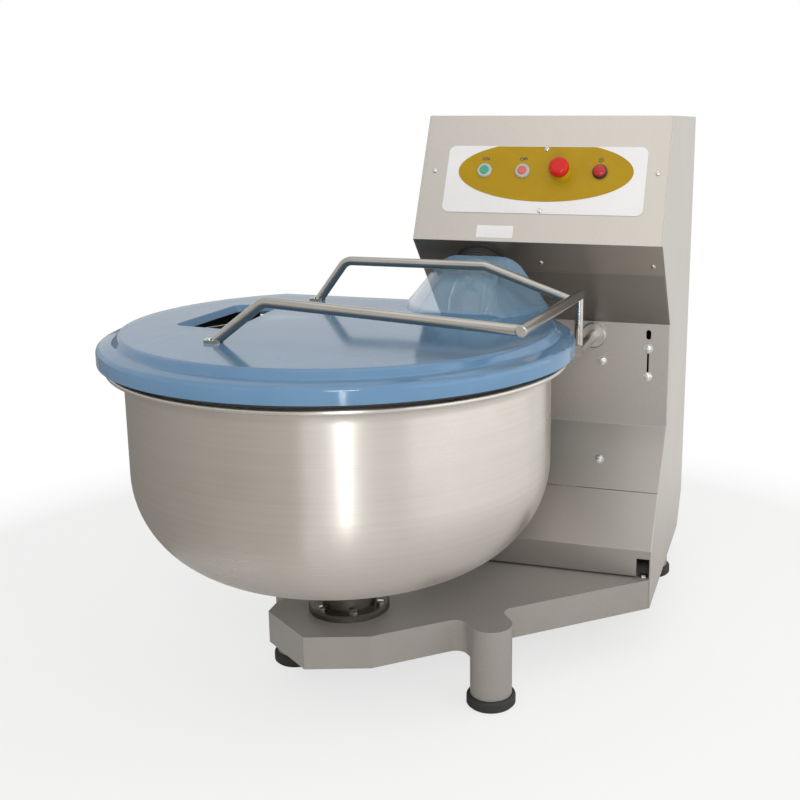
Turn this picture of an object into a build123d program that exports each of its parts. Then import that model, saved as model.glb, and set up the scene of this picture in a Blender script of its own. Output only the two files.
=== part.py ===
from build123d import *
import math
import os

# Dough mixer: a fork on a slanted arm kneads in a bowl that turns freely under a hinged, moulded lid.
# Millimetres, +Z up. The bowl's axis is x = y = 0 while modelling and the operator stands at -Y;
# the finished pieces are then moved so that the origin is the middle of the footprint on the floor.

# Clearances
FIT = 0.05            # radial play of a bearing or a running seat
FREE = 0.3            # free gap between neighbouring faces
SEAM = 1.0            # visible joint between two panels

# Bowl
BOWL_R = 378.0
BOWL_WALL = 4.0
BOWL_RIM_Z = 651.0
BOWL_BOTTOM_Z = 246.0
BOWL_KNUCKLE_R = 185.0
BOWL_CROWN_R = 842.0
BOWL_BEAD_R = 7.0

# Bowl hub
SPINDLE_R = 25.0
SPINDLE_TAIL_R = 18.0
SPINDLE_BEARING_R = 36.0
SPINDLE_BEARING_H = 18.0
HUB_R = 70.0
HUB_DROP = 16.0
HUB_CLEAR = 4.0
HOUSING_WALL = 14.0
HOUSING_FLANGE_R = 76.0
HOUSING_FLANGE_H = 12.0
HOUSING_DEPTH = 46.0
HUB_BOLTS = 6
HUB_BOLT_RING_R = 63.0
HUB_BOLT_R = 5.0
NUT_R = 28.0
NUT_H = 12.0

# Base frame and feet
BASE_TOP = 158.0
BASE_H = 62.0
BASE_WALL = 6.0
BASE_DECK = 8.0
BASE_NOSE = ((-140.0, -20.0), (-137.0, -64.0), (-27.0, -146.0), (87.0, -109.0))
BASE_BACK = 800.0
LEG_R = 39.0
LEG_OUT = 43.6
LEG_FILLET = 24.0
RIGHT_LEG_ALONG = 218.0
LEFT_LEG_ALONG = 70.0
REAR_LEG_Y = 700.0
REAR_LEG_INSET = 50.0
FOOT_R = 46.0
FOOT_H = 22.0

# Column
COL_LEFT = 31.0
COL_RIGHT = 534.0
COL_BACK = 838.0
COL_TOP = 1071.0
SIDE_T = 3.0
SHEET = 2.0
WAIST_LOW_Z = 425.0
TOE_Y = 280.0
TOE_RISE = 60.0
KICK_GAP = 4.0
KICK_NOTCH = (26.0, 42.0)
RAMP_JOINT = 0.55
CONSOLE_TILT = 25.7
TOP_LIP = 24.0
BACK_CUT = 70.0
REAR_CLEAR = 12.0
LOUVRES = 8
LOUVRE_L = 150.0
LOUVRE_OUT = 97.5
LOUVRE_W = 6.0
LOUVRE_PITCH = 22.0
LOUVRE_Z = 300.0

# Fork and slanted arm
ARM_X = 165.0
ARM_TILT = 43.5
ARM_REACH = 618.0
ARM_FROM_NOSE = 61.0
SEAM_FROM_ARM = 27.0
FORK_TIP_Y = -110.0
FORK_FLOOR_GAP = 17.0
TINE_R = 16.0
TINE_SPREAD = 85.0
TINE_STRAIGHT = 345.0
TINE_BEND = 70.0
TINE_ROOT = 56.0
SHAFT_R = 30.0
NOSE_R = 40.0
NOSE_OUT = 70.0
FORK_HUB_R = 45.0
FORK_HUB_L = 42.0
SEAL_L = 8.0
FORK_BEARING_L = 20.0
CLAMP_BOLT_R = 6.0
CLAMP_HEAD_R = 10.0

# Worm gearbox on the arm's axis
CASE_FROM_WALL = 180.0
CASE_L = 106.0
CASE_HALF_W = 85.0
CASE_WALL = 10.0
CASE_TOP_ROOM = 2.0
WHEEL_R = 72.0
WHEEL_W = 40.0
WHEEL_TEETH = 20
TOOTH_DEPTH = 6.0
WORM_R = 25.0
WORM_GAP = 0.6
WORM_RIDGES = 7
WORM_SHAFT_R = 16.0
WORM_BEARING_R = 35.0
WORM_BEARING_W = 16.0
COVER_T = 8.0
STAND_T = 10.0
STAND_FOOT = (545.0, 725.0)

# Belt drive and motor
PULLEY_GAP = 20.0
PULLEY_W = 44.0
DRIVEN_R = 90.0
DRIVER_R = 36.0
GROOVES = 2
GROOVE_W = 13.0
GROOVE_DEPTH = 10.0
BELT_W = 12.0
BELT_T = 9.0
PULLEY_WEB = 14.0
PULLEY_HOLES = 5
MOTOR_Y = 650.0
MOTOR_Z = 330.0
MOTOR_R = 76.0
FIN_H = 8.0
FINS = 18
FIN_T = 3.0
MOTOR_L = 128.0
MOTOR_SINK = 15.0
MOTOR_GAP = 18.0
FAN_COVER_L = 46.0
FAN_R = 62.0
FAN_BLADES = 7
VENT_R = 6.0
VENT_RINGS_R = (25.0, 46.0)
VENT_COUNT = 6
MOTOR_SHAFT_R = 14.0
MOUNT_HALF_W = 66.0
MOUNT_T = 8.0

# Lid: spun profile with a flat crown, cut straight at the back
LID_OVERHANG = 42.0
LID_LIFT = 8.0
LID_WALL = 4.0
LID_SKIRT = 21.0
LID_LEDGE = 28.0
LID_LEDGE_RISE = 11.0
LID_STEP = 9.0
LID_H = 46.0
LID_ROLL = 9.0
LID_FOOT_ROUND = 5.0
LID_CROWN_ROUND = 8.0
LID_BACK_GAP = 10.0

# Lid hood over the arm and feed window
HOOD_BACK = (20.0, 318.0, 104.0, 246.0)
HOOD_MID = (34.0, 322.0, 112.0, 214.0)
HOOD_FRONT = (84.0, 276.0, 112.0, 246.0)
HOOD_MID_IN = 58.0
HOOD_FRONT_IN = 160.0
HOOD_CLEAR = 6.0
HOOD_FALL = 25.0
HOOD_LIP = 20.0
HOOD_ROUND = 60.0
HOOD_NOTCH = 75.0
WINDOW = ((-284.0, -110.0), (-150.0, -124.0), (-186.0, 172.0), (-284.0, 128.0))
WINDOW_DEPTH = 24.0
WINDOW_DRAFT = 14.0
WINDOW_ROUND = 26.0

# Lid frame
TUBE_R = 9.0
TUBE_BEND = 26.0
TUBE_FOOT = (30.0, 24.0, 5.0)
NEAR_TUBE_Y = -226.0
NEAR_FOOT_X = -114.0
NEAR_CORNER = (-36.0, 71.0)
FAR_TUBE_IN = 64.3
FAR_FOOT_X = -134.0
FAR_CORNER_X = -84.0
FAR_BEND_X = 204.0
FAR_LEAN = 14.0
FAR_OVER_HOOD = 9.0
HINGE_TUBE_R = 9.5
HINGE_END_ROUND = 2.5
HINGE_FRONT = (392.0, -236.0, 47.0)
HINGE_BEHIND = 25.7
HINGE_BACK_UP = 21.0
POST_R = 8.5
POST_BEHIND = 15.0
PIVOT_X = 374.0
PIVOT_DROP = 42.0
FOLD_OVER_PIVOT = 29.4
PIVOT_R = 12.0
PIVOT_FLANGE_R = 27.0
PIVOT_FLANGE_T = 10.0
PIVOT_BEARING_L = 10.0
BRACKET_DEPTH = 82.0
BRACKET_HALF_W = 40.0
BRACKET_T = 6.0
CAM_R = 26.0
CAM_W = 18.0
CAM_FLAT = 20.0
SWITCH = (36.0, 34.0, 40.0)
PLUNGER_R = 4.0

# Console controls; places across are from the column's left face, up the slope from the nose fold
PANEL_INSET_L = 53.0
PANEL_INSET_R = 44.0
PANEL_LOW = 60.0
PANEL_HIGH = 203.0
PANEL_T = 1.5
PANEL_ROUND = 14.0
OVAL_T = 0.5
OVAL_HALF_W = 178.0
OVAL_HALF_H = 64.0
BUTTON_FIRST = 133.0
BUTTON_PITCH = 78.3
BUTTON_UP = 149.0
BEZEL_R = 14.8
BEZEL_H = 6.0
SLEEVE_R = 11.0
CAP_R = 9.4
CAP_PROUD = 7.5
SLEEVE_L = 18.0
CAP_L = 12.0
BUTTON_STEM_R = 4.0
BUTTON_TRAVEL = 4.0
COLLAR_R = 17.0
COLLAR_H = 12.0
MUSHROOM_R = 20.0
MUSHROOM_H = 15.0
MUSHROOM_ROUND = 9.0
MUSHROOM_STEM_R = 8.5
ESTOP_TRAVEL = 5.0
BLOCK_W = 26.0
BLOCK_L = 34.0

# Fasteners, electrics and cable gland; the wall's bolts and slot are placed down from its top fold
SCREW_R = 5.0
SCREW_H = 3.0
SCREW_ROUND = 1.8
SHANK_R = 2.4
BOLT_R = 8.0
BOLT_H = 6.0
BOLT_SHANK_R = 4.5
SLOT_X = 490.0
SLOT_BOLT_DOWN = (113.4, 53.4)
SLOT_HOLE_DOWN = 23.4
SLOT_HOLE = (10.0, 20.0)
SLIT_W = 4.0
SIDE_BOLT = (393.0, 84.4)
RAMP_BOLT_X = 401.0
RAMP_BOLT_ALONG = 86.0
EBOX = (96.0, 120.0, 230.0)
EBOX_BACK = 10.0
EBOX_Z = 430.0
GLAND_R = 14.0
GLAND_NECK_R = 10.0
GLAND_DOME_R = 11.0
GLAND_OUT = 22.0
GLAND_X = 450.0
GLAND_Z = 235.0

# Derived places
TILT = math.radians(ARM_TILT)
AXIS_Y = -math.cos(TILT)
AXIS_Z = -math.sin(TILT)
SLOPE = math.radians(CONSOLE_TILT)
IN_LEFT = COL_LEFT + SIDE_T
IN_RIGHT = COL_RIGHT - SIDE_T
BASE_BOTTOM = BASE_TOP - BASE_H
SWEEP_R = TINE_SPREAD + TINE_R
CROWN_Z = BOWL_BOTTOM_Z + BOWL_CROWN_R
KNUCKLE_X = BOWL_R - BOWL_KNUCKLE_R
KNUCKLE_Z = CROWN_Z - math.sqrt((BOWL_CROWN_R - BOWL_KNUCKLE_R) ** 2 - KNUCKLE_X ** 2)
LID_R = BOWL_R + LID_OVERHANG
LID_Z = BOWL_RIM_Z + LID_LIFT
LID_TOP = LID_Z + LID_H


def bowl_floor(radius):
    # Height of the bowl's inside at a radius on its dished bottom.
    return CROWN_Z - math.sqrt((BOWL_CROWN_R - BOWL_WALL) ** 2 - radius ** 2)


TIP_LOW_Y = FORK_TIP_Y - SWEEP_R * AXIS_Z
FORK_TIP_Z = bowl_floor(math.hypot(ARM_X, TIP_LOW_Y)) + FORK_FLOOR_GAP - SWEEP_R * AXIS_Y


def along_arm(distance, below=0.0):
    # Point (y, z) on the arm's axis, measured from the wall toward the fork, and below it square to the axis.
    y = FORK_TIP_Y + AXIS_Y * (distance - ARM_REACH) - AXIS_Z * below
    z = FORK_TIP_Z + AXIS_Z * (distance - ARM_REACH) + AXIS_Y * below
    return y, z


# The underside of the console is square to the arm and runs back to the wall, whose top fold clears the
# lid's pivot, so the nose and the waist follow from the arm and the pivot.
NOSE_Y, NOSE_Z = along_arm(0, -ARM_FROM_NOSE)
SEAM_Y, SEAM_Z = along_arm(0, SEAM_FROM_ARM)
PIVOT_Z = LID_Z - PIVOT_DROP
WAIST_TOP_Z = PIVOT_Z + FOLD_OVER_PIVOT
WAIST_Y = NOSE_Y + (WAIST_TOP_Z - NOSE_Z) * -AXIS_Z / AXIS_Y
CONSOLE_TOP_Y = NOSE_Y + (COL_TOP - NOSE_Z) * math.tan(SLOPE)
TOE_Z = BASE_TOP + TOE_RISE
JOINT_Y = WAIST_Y + (TOE_Y - WAIST_Y) * RAMP_JOINT
JOINT_Z = WAIST_LOW_Z + (TOE_Z - WAIST_LOW_Z) * RAMP_JOINT
RAMP_L = math.hypot(WAIST_Y - TOE_Y, WAIST_LOW_Z - TOE_Z)
RAMP_Y = (TOE_Y - WAIST_Y) / RAMP_L
RAMP_Z = (TOE_Z - WAIST_LOW_Z) / RAMP_L
LID_BACK = NOSE_Y - LID_BACK_GAP
FAR_TUBE_Y = LID_BACK - FAR_TUBE_IN
POST_Y = LID_BACK + POST_BEHIND
WHEEL_S = -(CASE_FROM_WALL + CASE_L / 2)
WORM_BELOW = WHEEL_R + WORM_R + WORM_GAP
CASE_LOW = WORM_BELOW + WORM_BEARING_R + CASE_WALL
CASE_HIGH = WHEEL_R + CASE_WALL + CASE_TOP_ROOM
WORM_Y, WORM_Z = along_arm(WHEEL_S, WORM_BELOW)
PULLEY_X1 = IN_RIGHT - PULLEY_GAP
PULLEY_X0 = PULLEY_X1 - PULLEY_W
MOTOR_X1 = PULLEY_X0 - MOTOR_GAP
MOTOR_X0 = MOTOR_X1 - MOTOR_L
HUB_Z = BOWL_BOTTOM_Z - HUB_DROP
HOUSING_TOP = HUB_Z - HUB_CLEAR
HOUSING_LOW = BASE_TOP - HOUSING_DEPTH
GLAND_END = COL_BACK + GLAND_OUT
CENTRE_X = (COL_RIGHT - LID_R) / 2
CENTRE_Y = (GLAND_END - LID_R) / 2

ARM = Plane(origin=(ARM_X, *along_arm(0)), x_dir=(1, 0, 0), z_dir=(0, AXIS_Y, AXIS_Z))
CONSOLE = Plane(origin=(0, NOSE_Y, NOSE_Z), x_dir=(1, 0, 0), z_dir=(0, -math.cos(SLOPE), math.sin(SLOPE)))
UNDERSIDE = Plane(origin=(0, NOSE_Y, NOSE_Z), x_dir=(1, 0, 0), z_dir=(0, AXIS_Y, AXIS_Z))
WALL = Plane(origin=(0, WAIST_Y, 0), x_dir=(1, 0, 0), z_dir=(0, -1, 0))
RAMP = Plane(origin=(0, WAIST_Y, WAIST_LOW_Z), x_dir=(1, 0, 0), z_dir=(0, RAMP_Z, -RAMP_Y))
REAR = Plane(origin=(0, COL_BACK, 0), x_dir=(-1, 0, 0), z_dir=(0, 1, 0))
PANEL_X0 = COL_LEFT + PANEL_INSET_L
PANEL_X1 = COL_RIGHT - PANEL_INSET_R
FACE_T = PANEL_T + OVAL_T


# Helpers
def rod(radius, length):
    return Cylinder(radius, length, align=(Align.CENTER, Align.CENTER, Align.MIN))


def ring(outer, inner, length):
    return rod(outer, length) - rod(inner, length)


def hexagon(radius, length):
    return extrude(RegularPolygon(radius, 6), length)


def block(x_low, x_high, y_low, y_high, z_low, z_high):
    corner = Pos(x_low, y_low, z_low)
    return corner * Box(x_high - x_low, y_high - y_low, z_high - z_low, align=(Align.MIN,) * 3)


def side_prism(points, x_low, x_high):
    face = Plane.YZ.offset(x_low) * make_face(Polyline(*points, close=True))
    return extrude(face, x_high - x_low, dir=(1, 0, 0))


def lathe(*lines):
    return revolve(Plane.XZ * make_face(Curve() + list(lines)), Axis.Z)


def along_x(x, y, z):
    return Plane(origin=(x, y, z), x_dir=(0, 1, 0), z_dir=(1, 0, 0))


def along_y(x, y, z):
    return Plane(origin=(x, y, z), x_dir=(-1, 0, 0), z_dir=(0, 1, 0))


def group(shapes):
    return Compound([solid for shape in shapes for solid in shape.solids()])


def folded(points, thickness):
    # Closed outline of a sheet bent along a line of (y, z) points, its thickness on the left of the line.
    inner = []
    for k in range(len(points)):
        normals = []
        for a, b in ((k - 1, k), (k, k + 1)):
            if a >= 0 and b < len(points):
                step = Vector(*points[b]) - Vector(*points[a])
                normals.append(Vector(-step.Y, step.X).normalized())
        mitre = normals[0] + normals[-1]
        shift = mitre * (thickness / (1 + normals[0].dot(normals[-1])))
        inner.append((points[k][0] + shift.X, points[k][1] + shift.Y))
    return [*points, *reversed(inner)]


# Base frame, legs and feet
def base_outline(inset=0.0):
    right_front = (IN_RIGHT, TOE_Y - SHEET)
    left_front = (IN_LEFT, TOE_Y - SHEET)
    points = [*BASE_NOSE, right_front, (IN_RIGHT, BASE_BACK), (IN_LEFT, BASE_BACK), left_front]
    face = make_face(Polyline(*points, close=True))
    return offset(face, -inset, kind=Kind.INTERSECTION) if inset else face


def edge_frame(start, end, along):
    # Plane on the base's outline: x along the edge, y outward, at a distance from the edge's start.
    step = (Vector(*end) - Vector(*start)).normalized()
    origin = Vector(*start) + step * along
    return Plane(origin=(origin.X, origin.Y, 0), x_dir=(-step.X, -step.Y, 0), z_dir=(0, 0, 1))


RIGHT_LEG = edge_frame(BASE_NOSE[-1], (IN_RIGHT, TOE_Y - SHEET), RIGHT_LEG_ALONG)
LEFT_LEG = edge_frame((IN_LEFT, TOE_Y - SHEET), BASE_NOSE[0], math.hypot(
    IN_LEFT - BASE_NOSE[0][0], TOE_Y - SHEET - BASE_NOSE[0][1]) - LEFT_LEG_ALONG)
REAR_LEGS = [(IN_LEFT + REAR_LEG_INSET, REAR_LEG_Y), (IN_RIGHT - REAR_LEG_INSET, REAR_LEG_Y)]


def make_base_frame():
    tray = extrude(Pos(0, 0, BASE_BOTTOM) * base_outline(), BASE_H, dir=(0, 0, 1))
    pocket = extrude(Pos(0, 0, BASE_BOTTOM) * base_outline(BASE_WALL), BASE_H - BASE_DECK, dir=(0, 0, 1))
    seat = Pos(0, 0, BASE_BOTTOM) * rod(SPINDLE_BEARING_R + HOUSING_WALL + FREE, BASE_H)
    tray = tray - pocket - seat
    for hole in PolarLocations(HUB_BOLT_RING_R, HUB_BOLTS):
        tray -= Pos(0, 0, BASE_BOTTOM) * hole * rod(HUB_BOLT_R + FIT, BASE_H)
    return drilled(tray, [toe_bolt_place()], BOLT_SHANK_R + FIT, BASE_DECK)


def make_front_leg(frame):
    # Leg and gusset: a round leg outside the base's edge, blended into it by two hollow fillets.
    wide = LEG_R + LEG_FILLET
    web = block(-LEG_R, LEG_R, 0, LEG_OUT, BASE_BOTTOM, BASE_TOP)
    web += block(-wide, wide, 0, LEG_FILLET, BASE_BOTTOM, BASE_TOP)
    for side in (-wide, wide):
        web -= Pos(side, LEG_FILLET, BASE_BOTTOM) * rod(LEG_FILLET, BASE_H)
    leg = Pos(0, LEG_OUT, FOOT_H) * rod(LEG_R, BASE_TOP - FOOT_H)
    return frame * (web + leg)


def leg_frame_centre(frame):
    return (frame * Pos(0, LEG_OUT, 0)).position


def make_rear_legs():
    legs = []
    for x, y in REAR_LEGS:
        legs.append(Pos(x, y, FOOT_H) * rod(LEG_R, BASE_TOP - BASE_DECK - FOOT_H))
    return group(legs)


def make_rubber_feet():
    places = [tuple(leg_frame_centre(RIGHT_LEG))[:2], tuple(leg_frame_centre(LEFT_LEG))[:2], *REAR_LEGS]
    foot = rod(FOOT_R, FOOT_H)
    foot = fillet(foot.edges().group_by(Axis.Z)[-1], FOOT_H / 4)
    foot = chamfer(foot.edges().group_by(Axis.Z)[0], FOOT_H / 6)
    return group([Pos(x, y, 0) * foot for x, y in places])


# Column panels
def screw_places():
    # Plane at each panel screw: two plate screws, two console screws, two under the console.
    middle = (PANEL_X0 + PANEL_X1) / 2
    on_plate = [(middle, PANEL_HIGH - SCREW_R - SEAM), (middle, PANEL_LOW + SCREW_R + SEAM)]
    outside = [((COL_LEFT + PANEL_X0) / 2, BUTTON_UP), ((COL_RIGHT + PANEL_X1) / 2, BUTTON_UP)]
    under = [(middle, ARM_FROM_NOSE), (COL_RIGHT - PANEL_INSET_R / 2, ARM_FROM_NOSE)]
    places = [CONSOLE * Pos(x, up, PANEL_T) for x, up in on_plate]
    places += [CONSOLE * Pos(x, up, 0) for x, up in outside]
    places += [UNDERSIDE * Pos(x, -down, 0) for x, down in under]
    return places


def rear_screw_places():
    places = []
    for x in (IN_LEFT + SCREW_R * 3, IN_RIGHT - SCREW_R * 3):
        for z in (COL_TOP - BACK_CUT, (COL_TOP + BASE_TOP) / 2, BASE_TOP + BACK_CUT):
            places.append(REAR * Pos(-x, z, 0))
    return places


def wall_bolt_places():
    places = [WALL * Pos(SLOT_X, WAIST_TOP_Z - down, 0) for down in SLOT_BOLT_DOWN]
    places.append(WALL * Pos(SIDE_BOLT[0], WAIST_TOP_Z - SIDE_BOLT[1], 0))
    places.append(RAMP * Pos(RAMP_BOLT_X, -RAMP_BOLT_ALONG, 0))
    return places


def toe_bolt_place():
    # Bolt between column and base, standing in the kick panel's corner notch.
    return Plane(origin=(IN_RIGHT - KICK_NOTCH[0] / 2, TOE_Y + KICK_NOTCH[0] / 2, BASE_TOP))


def drilled(panel, places, radius, depth=SHEET + PANEL_T):
    for place in places:
        panel -= place * Pos(0, 0, -2 * depth) * rod(radius, 4 * depth)
    return panel


def make_side_panel(x_low):
    profile = [(CONSOLE_TOP_Y, COL_TOP), (NOSE_Y, NOSE_Z), (WAIST_Y, WAIST_TOP_Z), (WAIST_Y, WAIST_LOW_Z),
               (TOE_Y, TOE_Z), (TOE_Y, BASE_BOTTOM), (COL_BACK - BACK_CUT, BASE_BOTTOM),
               (COL_BACK, BASE_BOTTOM + BACK_CUT), (COL_BACK, COL_TOP)]
    return side_prism(profile, x_low, x_low + SIDE_T)


def make_console_fascia():
    bend = [(CONSOLE_TOP_Y + TOP_LIP, COL_TOP), (CONSOLE_TOP_Y, COL_TOP), (NOSE_Y, NOSE_Z), (SEAM_Y, SEAM_Z)]
    fascia = side_prism(folded(bend, SHEET), IN_LEFT, IN_RIGHT)
    for place in button_places():
        fascia -= place * Pos(0, 0, -3 * SHEET) * rod(SLEEVE_R + FREE, 6 * SHEET)
    fascia = drilled(fascia, screw_places(), SHANK_R + FIT)
    return fascia - ARM * Pos(0, 0, -NOSE_OUT) * rod(NOSE_R + FREE, 2 * NOSE_OUT)


def make_recess_panel():
    top = along_arm(0, SEAM_FROM_ARM + SEAM)
    joint = (JOINT_Y - SEAM * RAMP_Y, JOINT_Z - SEAM * RAMP_Z)
    bend = [top, (WAIST_Y, WAIST_TOP_Z), (WAIST_Y, WAIST_LOW_Z), joint]
    panel = side_prism(folded(bend, SHEET), IN_LEFT, IN_RIGHT)
    panel -= ARM * Pos(0, 0, -NOSE_OUT) * rod(NOSE_R + FREE, 2 * NOSE_OUT)
    panel -= along_y(PIVOT_X, WAIST_Y - SHEET, PIVOT_Z) * rod(PIVOT_R + FREE, 4 * SHEET)
    wide, high = SLOT_HOLE
    oblong = extrude(Rot(0, 0, 90) * SlotOverall(high, wide), 4 * SHEET)
    panel -= WALL * Pos(SLOT_X, WAIST_TOP_Z - SLOT_HOLE_DOWN, -2 * SHEET) * oblong
    slit_z = [WAIST_TOP_Z - down for down in SLOT_BOLT_DOWN]
    panel -= block(SLOT_X - SLIT_W / 2, SLOT_X + SLIT_W / 2, WAIST_Y - SHEET, WAIST_Y + 2 * SHEET, *slit_z)
    return drilled(panel, wall_bolt_places(), BOLT_SHANK_R + FIT)


def make_kick_panel():
    bend = [(JOINT_Y, JOINT_Z), (TOE_Y, TOE_Z), (TOE_Y, BASE_TOP + KICK_GAP)]
    panel = side_prism(folded(bend, SHEET), IN_LEFT, IN_RIGHT)
    wide, high = KICK_NOTCH
    notch = block(IN_RIGHT - wide, IN_RIGHT, TOE_Y - SHEET, TOE_Y + 2 * SHEET, BASE_TOP, BASE_TOP + high)
    return panel - notch


def make_rear_cover():
    low = BASE_BOTTOM + BACK_CUT + REAR_CLEAR
    bend = [(COL_BACK, low), (COL_BACK, COL_TOP), (CONSOLE_TOP_Y + TOP_LIP + SEAM, COL_TOP)]
    cover = side_prism(folded(bend, SHEET), IN_LEFT, IN_RIGHT)
    middle = (IN_LEFT + IN_RIGHT) / 2
    slot = Plane.XZ * SlotOverall(LOUVRE_L, LOUVRE_W)
    for k in range(LOUVRES):
        for side in (-1, 1):
            place = Pos(middle + side * LOUVRE_OUT, COL_BACK + SHEET, LOUVRE_Z + k * LOUVRE_PITCH)
            cover -= extrude(place * slot, 3 * SHEET, dir=(0, -1, 0))
    cover -= along_y(GLAND_X, COL_BACK - 2 * SHEET, GLAND_Z) * rod(GLAND_NECK_R + FIT, 4 * SHEET)
    return drilled(cover, rear_screw_places(), SHANK_R + FIT)


def make_screw():
    head = fillet(rod(SCREW_R, SCREW_H).edges().group_by(Axis.Z)[-1], SCREW_ROUND)
    return head + Pos(0, 0, -2 * SHEET) * rod(SHANK_R, 2 * SHEET)


def make_panel_screws():
    screw = make_screw()
    return group([place * screw for place in screw_places() + rear_screw_places()])


def make_wall_bolts():
    bolt = hexagon(BOLT_R, BOLT_H) + Pos(0, 0, -4 * SHEET) * rod(BOLT_SHANK_R, 4 * SHEET)
    return group([place * bolt for place in [*wall_bolt_places(), toe_bolt_place()]])


# Controls on the console's slope
def button_places():
    first = COL_LEFT + BUTTON_FIRST
    return [CONSOLE * Pos(first + k * BUTTON_PITCH, BUTTON_UP, 0) for k in range(4)]


def make_control_plate():
    plate = Rectangle(PANEL_X1 - PANEL_X0, PANEL_HIGH - PANEL_LOW)
    plate = fillet(plate.vertices(), PANEL_ROUND)
    place = CONSOLE * Pos((PANEL_X0 + PANEL_X1) / 2, (PANEL_LOW + PANEL_HIGH) / 2, 0)
    plate = place * extrude(plate, PANEL_T)
    for button in button_places():
        plate -= button * rod(SLEEVE_R + FREE, PANEL_T)
    return drilled(plate, screw_places()[:2], SHANK_R + FIT)


def make_oval_field():
    # Coloured oval round the controls, its crown cut off by the plate's top edge.
    middle = (PANEL_X0 + PANEL_X1) / 2
    oval = Pos(0, BUTTON_UP) * Ellipse(OVAL_HALF_W, OVAL_HALF_H)
    oval &= Pos(0, (PANEL_HIGH + PANEL_LOW) / 2 - SEAM) * Rectangle(2 * OVAL_HALF_W, PANEL_HIGH - PANEL_LOW)
    field = CONSOLE * Pos(middle, 0, PANEL_T) * extrude(oval, OVAL_T)
    for button in button_places():
        field -= button * rod(SLEEVE_R + FREE, FACE_T)
    return drilled(field, screw_places()[:1], SCREW_R + FREE)


def make_bezel(button):
    flange = Pos(0, 0, FACE_T) * ring(BEZEL_R, CAP_R + FIT, BEZEL_H)
    flange = chamfer(flange.edges().group_by(Axis.Z)[-1].sort_by(SortBy.RADIUS)[-1:], BEZEL_H / 3)
    sleeve = Pos(0, 0, FACE_T - SLEEVE_L) * ring(SLEEVE_R, CAP_R + FIT, SLEEVE_L)
    return button * (flange + sleeve)


def make_push_button(button):
    top = FACE_T + CAP_PROUD
    cap = Pos(0, 0, top - CAP_L) * rod(CAP_R, CAP_L)
    cap = fillet(cap.edges().group_by(Axis.Z)[-1], BEZEL_H / 3)
    stem_low = FACE_T - SLEEVE_L - FREE
    stem = Pos(0, 0, stem_low) * rod(BUTTON_STEM_R, top - CAP_L - stem_low)
    return button * (cap + stem)


def make_estop_collar(button):
    foot = Pos(0, 0, FACE_T) * Cone(COLLAR_R + BEZEL_H / 2, COLLAR_R, COLLAR_H, align=(
        Align.CENTER, Align.CENTER, Align.MIN))
    foot -= Pos(0, 0, FACE_T) * rod(MUSHROOM_STEM_R + FIT, COLLAR_H)
    sleeve = Pos(0, 0, FACE_T - SLEEVE_L) * ring(SLEEVE_R, MUSHROOM_STEM_R + FIT, SLEEVE_L)
    return button * (foot + sleeve)


def make_estop_button(button):
    low = FACE_T + COLLAR_H + ESTOP_TRAVEL + FREE
    head = Pos(0, 0, low) * rod(MUSHROOM_R, MUSHROOM_H)
    head = fillet(head.edges().group_by(Axis.Z)[-1], MUSHROOM_ROUND)
    stem_low = FACE_T - SLEEVE_L + ESTOP_TRAVEL + FREE
    stem = Pos(0, 0, stem_low) * rod(MUSHROOM_STEM_R, low - stem_low)
    needle_low = FACE_T - SLEEVE_L - FREE
    needle = Pos(0, 0, needle_low) * rod(BUTTON_STEM_R, stem_low - needle_low)
    return button * (head + stem + needle)


def make_lamp_lens(button):
    lens = Pos(0, 0, FACE_T - CAP_L + CAP_PROUD) * rod(CAP_R, CAP_L)
    return button * fillet(lens.edges().group_by(Axis.Z)[-1], BEZEL_H / 2)


def make_contact_blocks():
    # One block behind each control, bored so that the stem of a pushed button can enter.
    blocks = []
    top = FACE_T - SLEEVE_L
    for button in button_places():
        body = block(-BLOCK_W / 2, BLOCK_W / 2, -BLOCK_W / 2, BLOCK_W / 2, top - BLOCK_L, top)
        bore_l = BUTTON_TRAVEL + BLOCK_L / 4
        bore = Pos(0, 0, top - bore_l) * rod(BUTTON_STEM_R + FIT, bore_l)
        blocks.append(button * (body - bore))
    return group(blocks)


# Bowl and its hub
def bowl_outline(shrink):
    # Half section of the dished bowl from its middle up to the rim, offset inward by shrink.
    crown, knuckle = BOWL_CROWN_R - shrink, BOWL_KNUCKLE_R - shrink
    reach = math.atan2(KNUCKLE_X, CROWN_Z - KNUCKLE_Z)

    def on_crown(angle):
        return crown * math.sin(angle), CROWN_Z - crown * math.cos(angle)

    def on_knuckle(angle):
        return KNUCKLE_X + knuckle * math.sin(angle), KNUCKLE_Z - knuckle * math.cos(angle)

    half = (reach + math.pi / 2) / 2
    return [
        ThreePointArc((0, CROWN_Z - crown), on_crown(reach / 2), on_crown(reach)),
        ThreePointArc(on_knuckle(reach), on_knuckle(half), on_knuckle(math.pi / 2)),
        Line(on_knuckle(math.pi / 2), (BOWL_R - shrink, BOWL_RIM_Z - BOWL_BEAD_R)),
    ]


def make_bowl():
    outer, inner = bowl_outline(0), bowl_outline(BOWL_WALL)
    rim = Line(outer[-1] @ 1, inner[-1] @ 1)
    middle = Line(inner[0] @ 0, outer[0] @ 0)
    shell = lathe(*outer, rim, *inner, middle)
    bead = Torus(BOWL_R, BOWL_BEAD_R)
    return shell + Pos(0, 0, BOWL_RIM_Z - BOWL_BEAD_R) * bead


def make_bowl_hub():
    hub = Pos(0, 0, HUB_Z) * rod(HUB_R, HUB_DROP + BOWL_WALL + HUB_R / 4)
    hub -= Pos(0, 0, CROWN_Z) * Sphere(BOWL_CROWN_R + FIT)
    return hub - Pos(0, 0, HUB_Z) * rod(SPINDLE_R + FIT, HUB_DROP)


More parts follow.
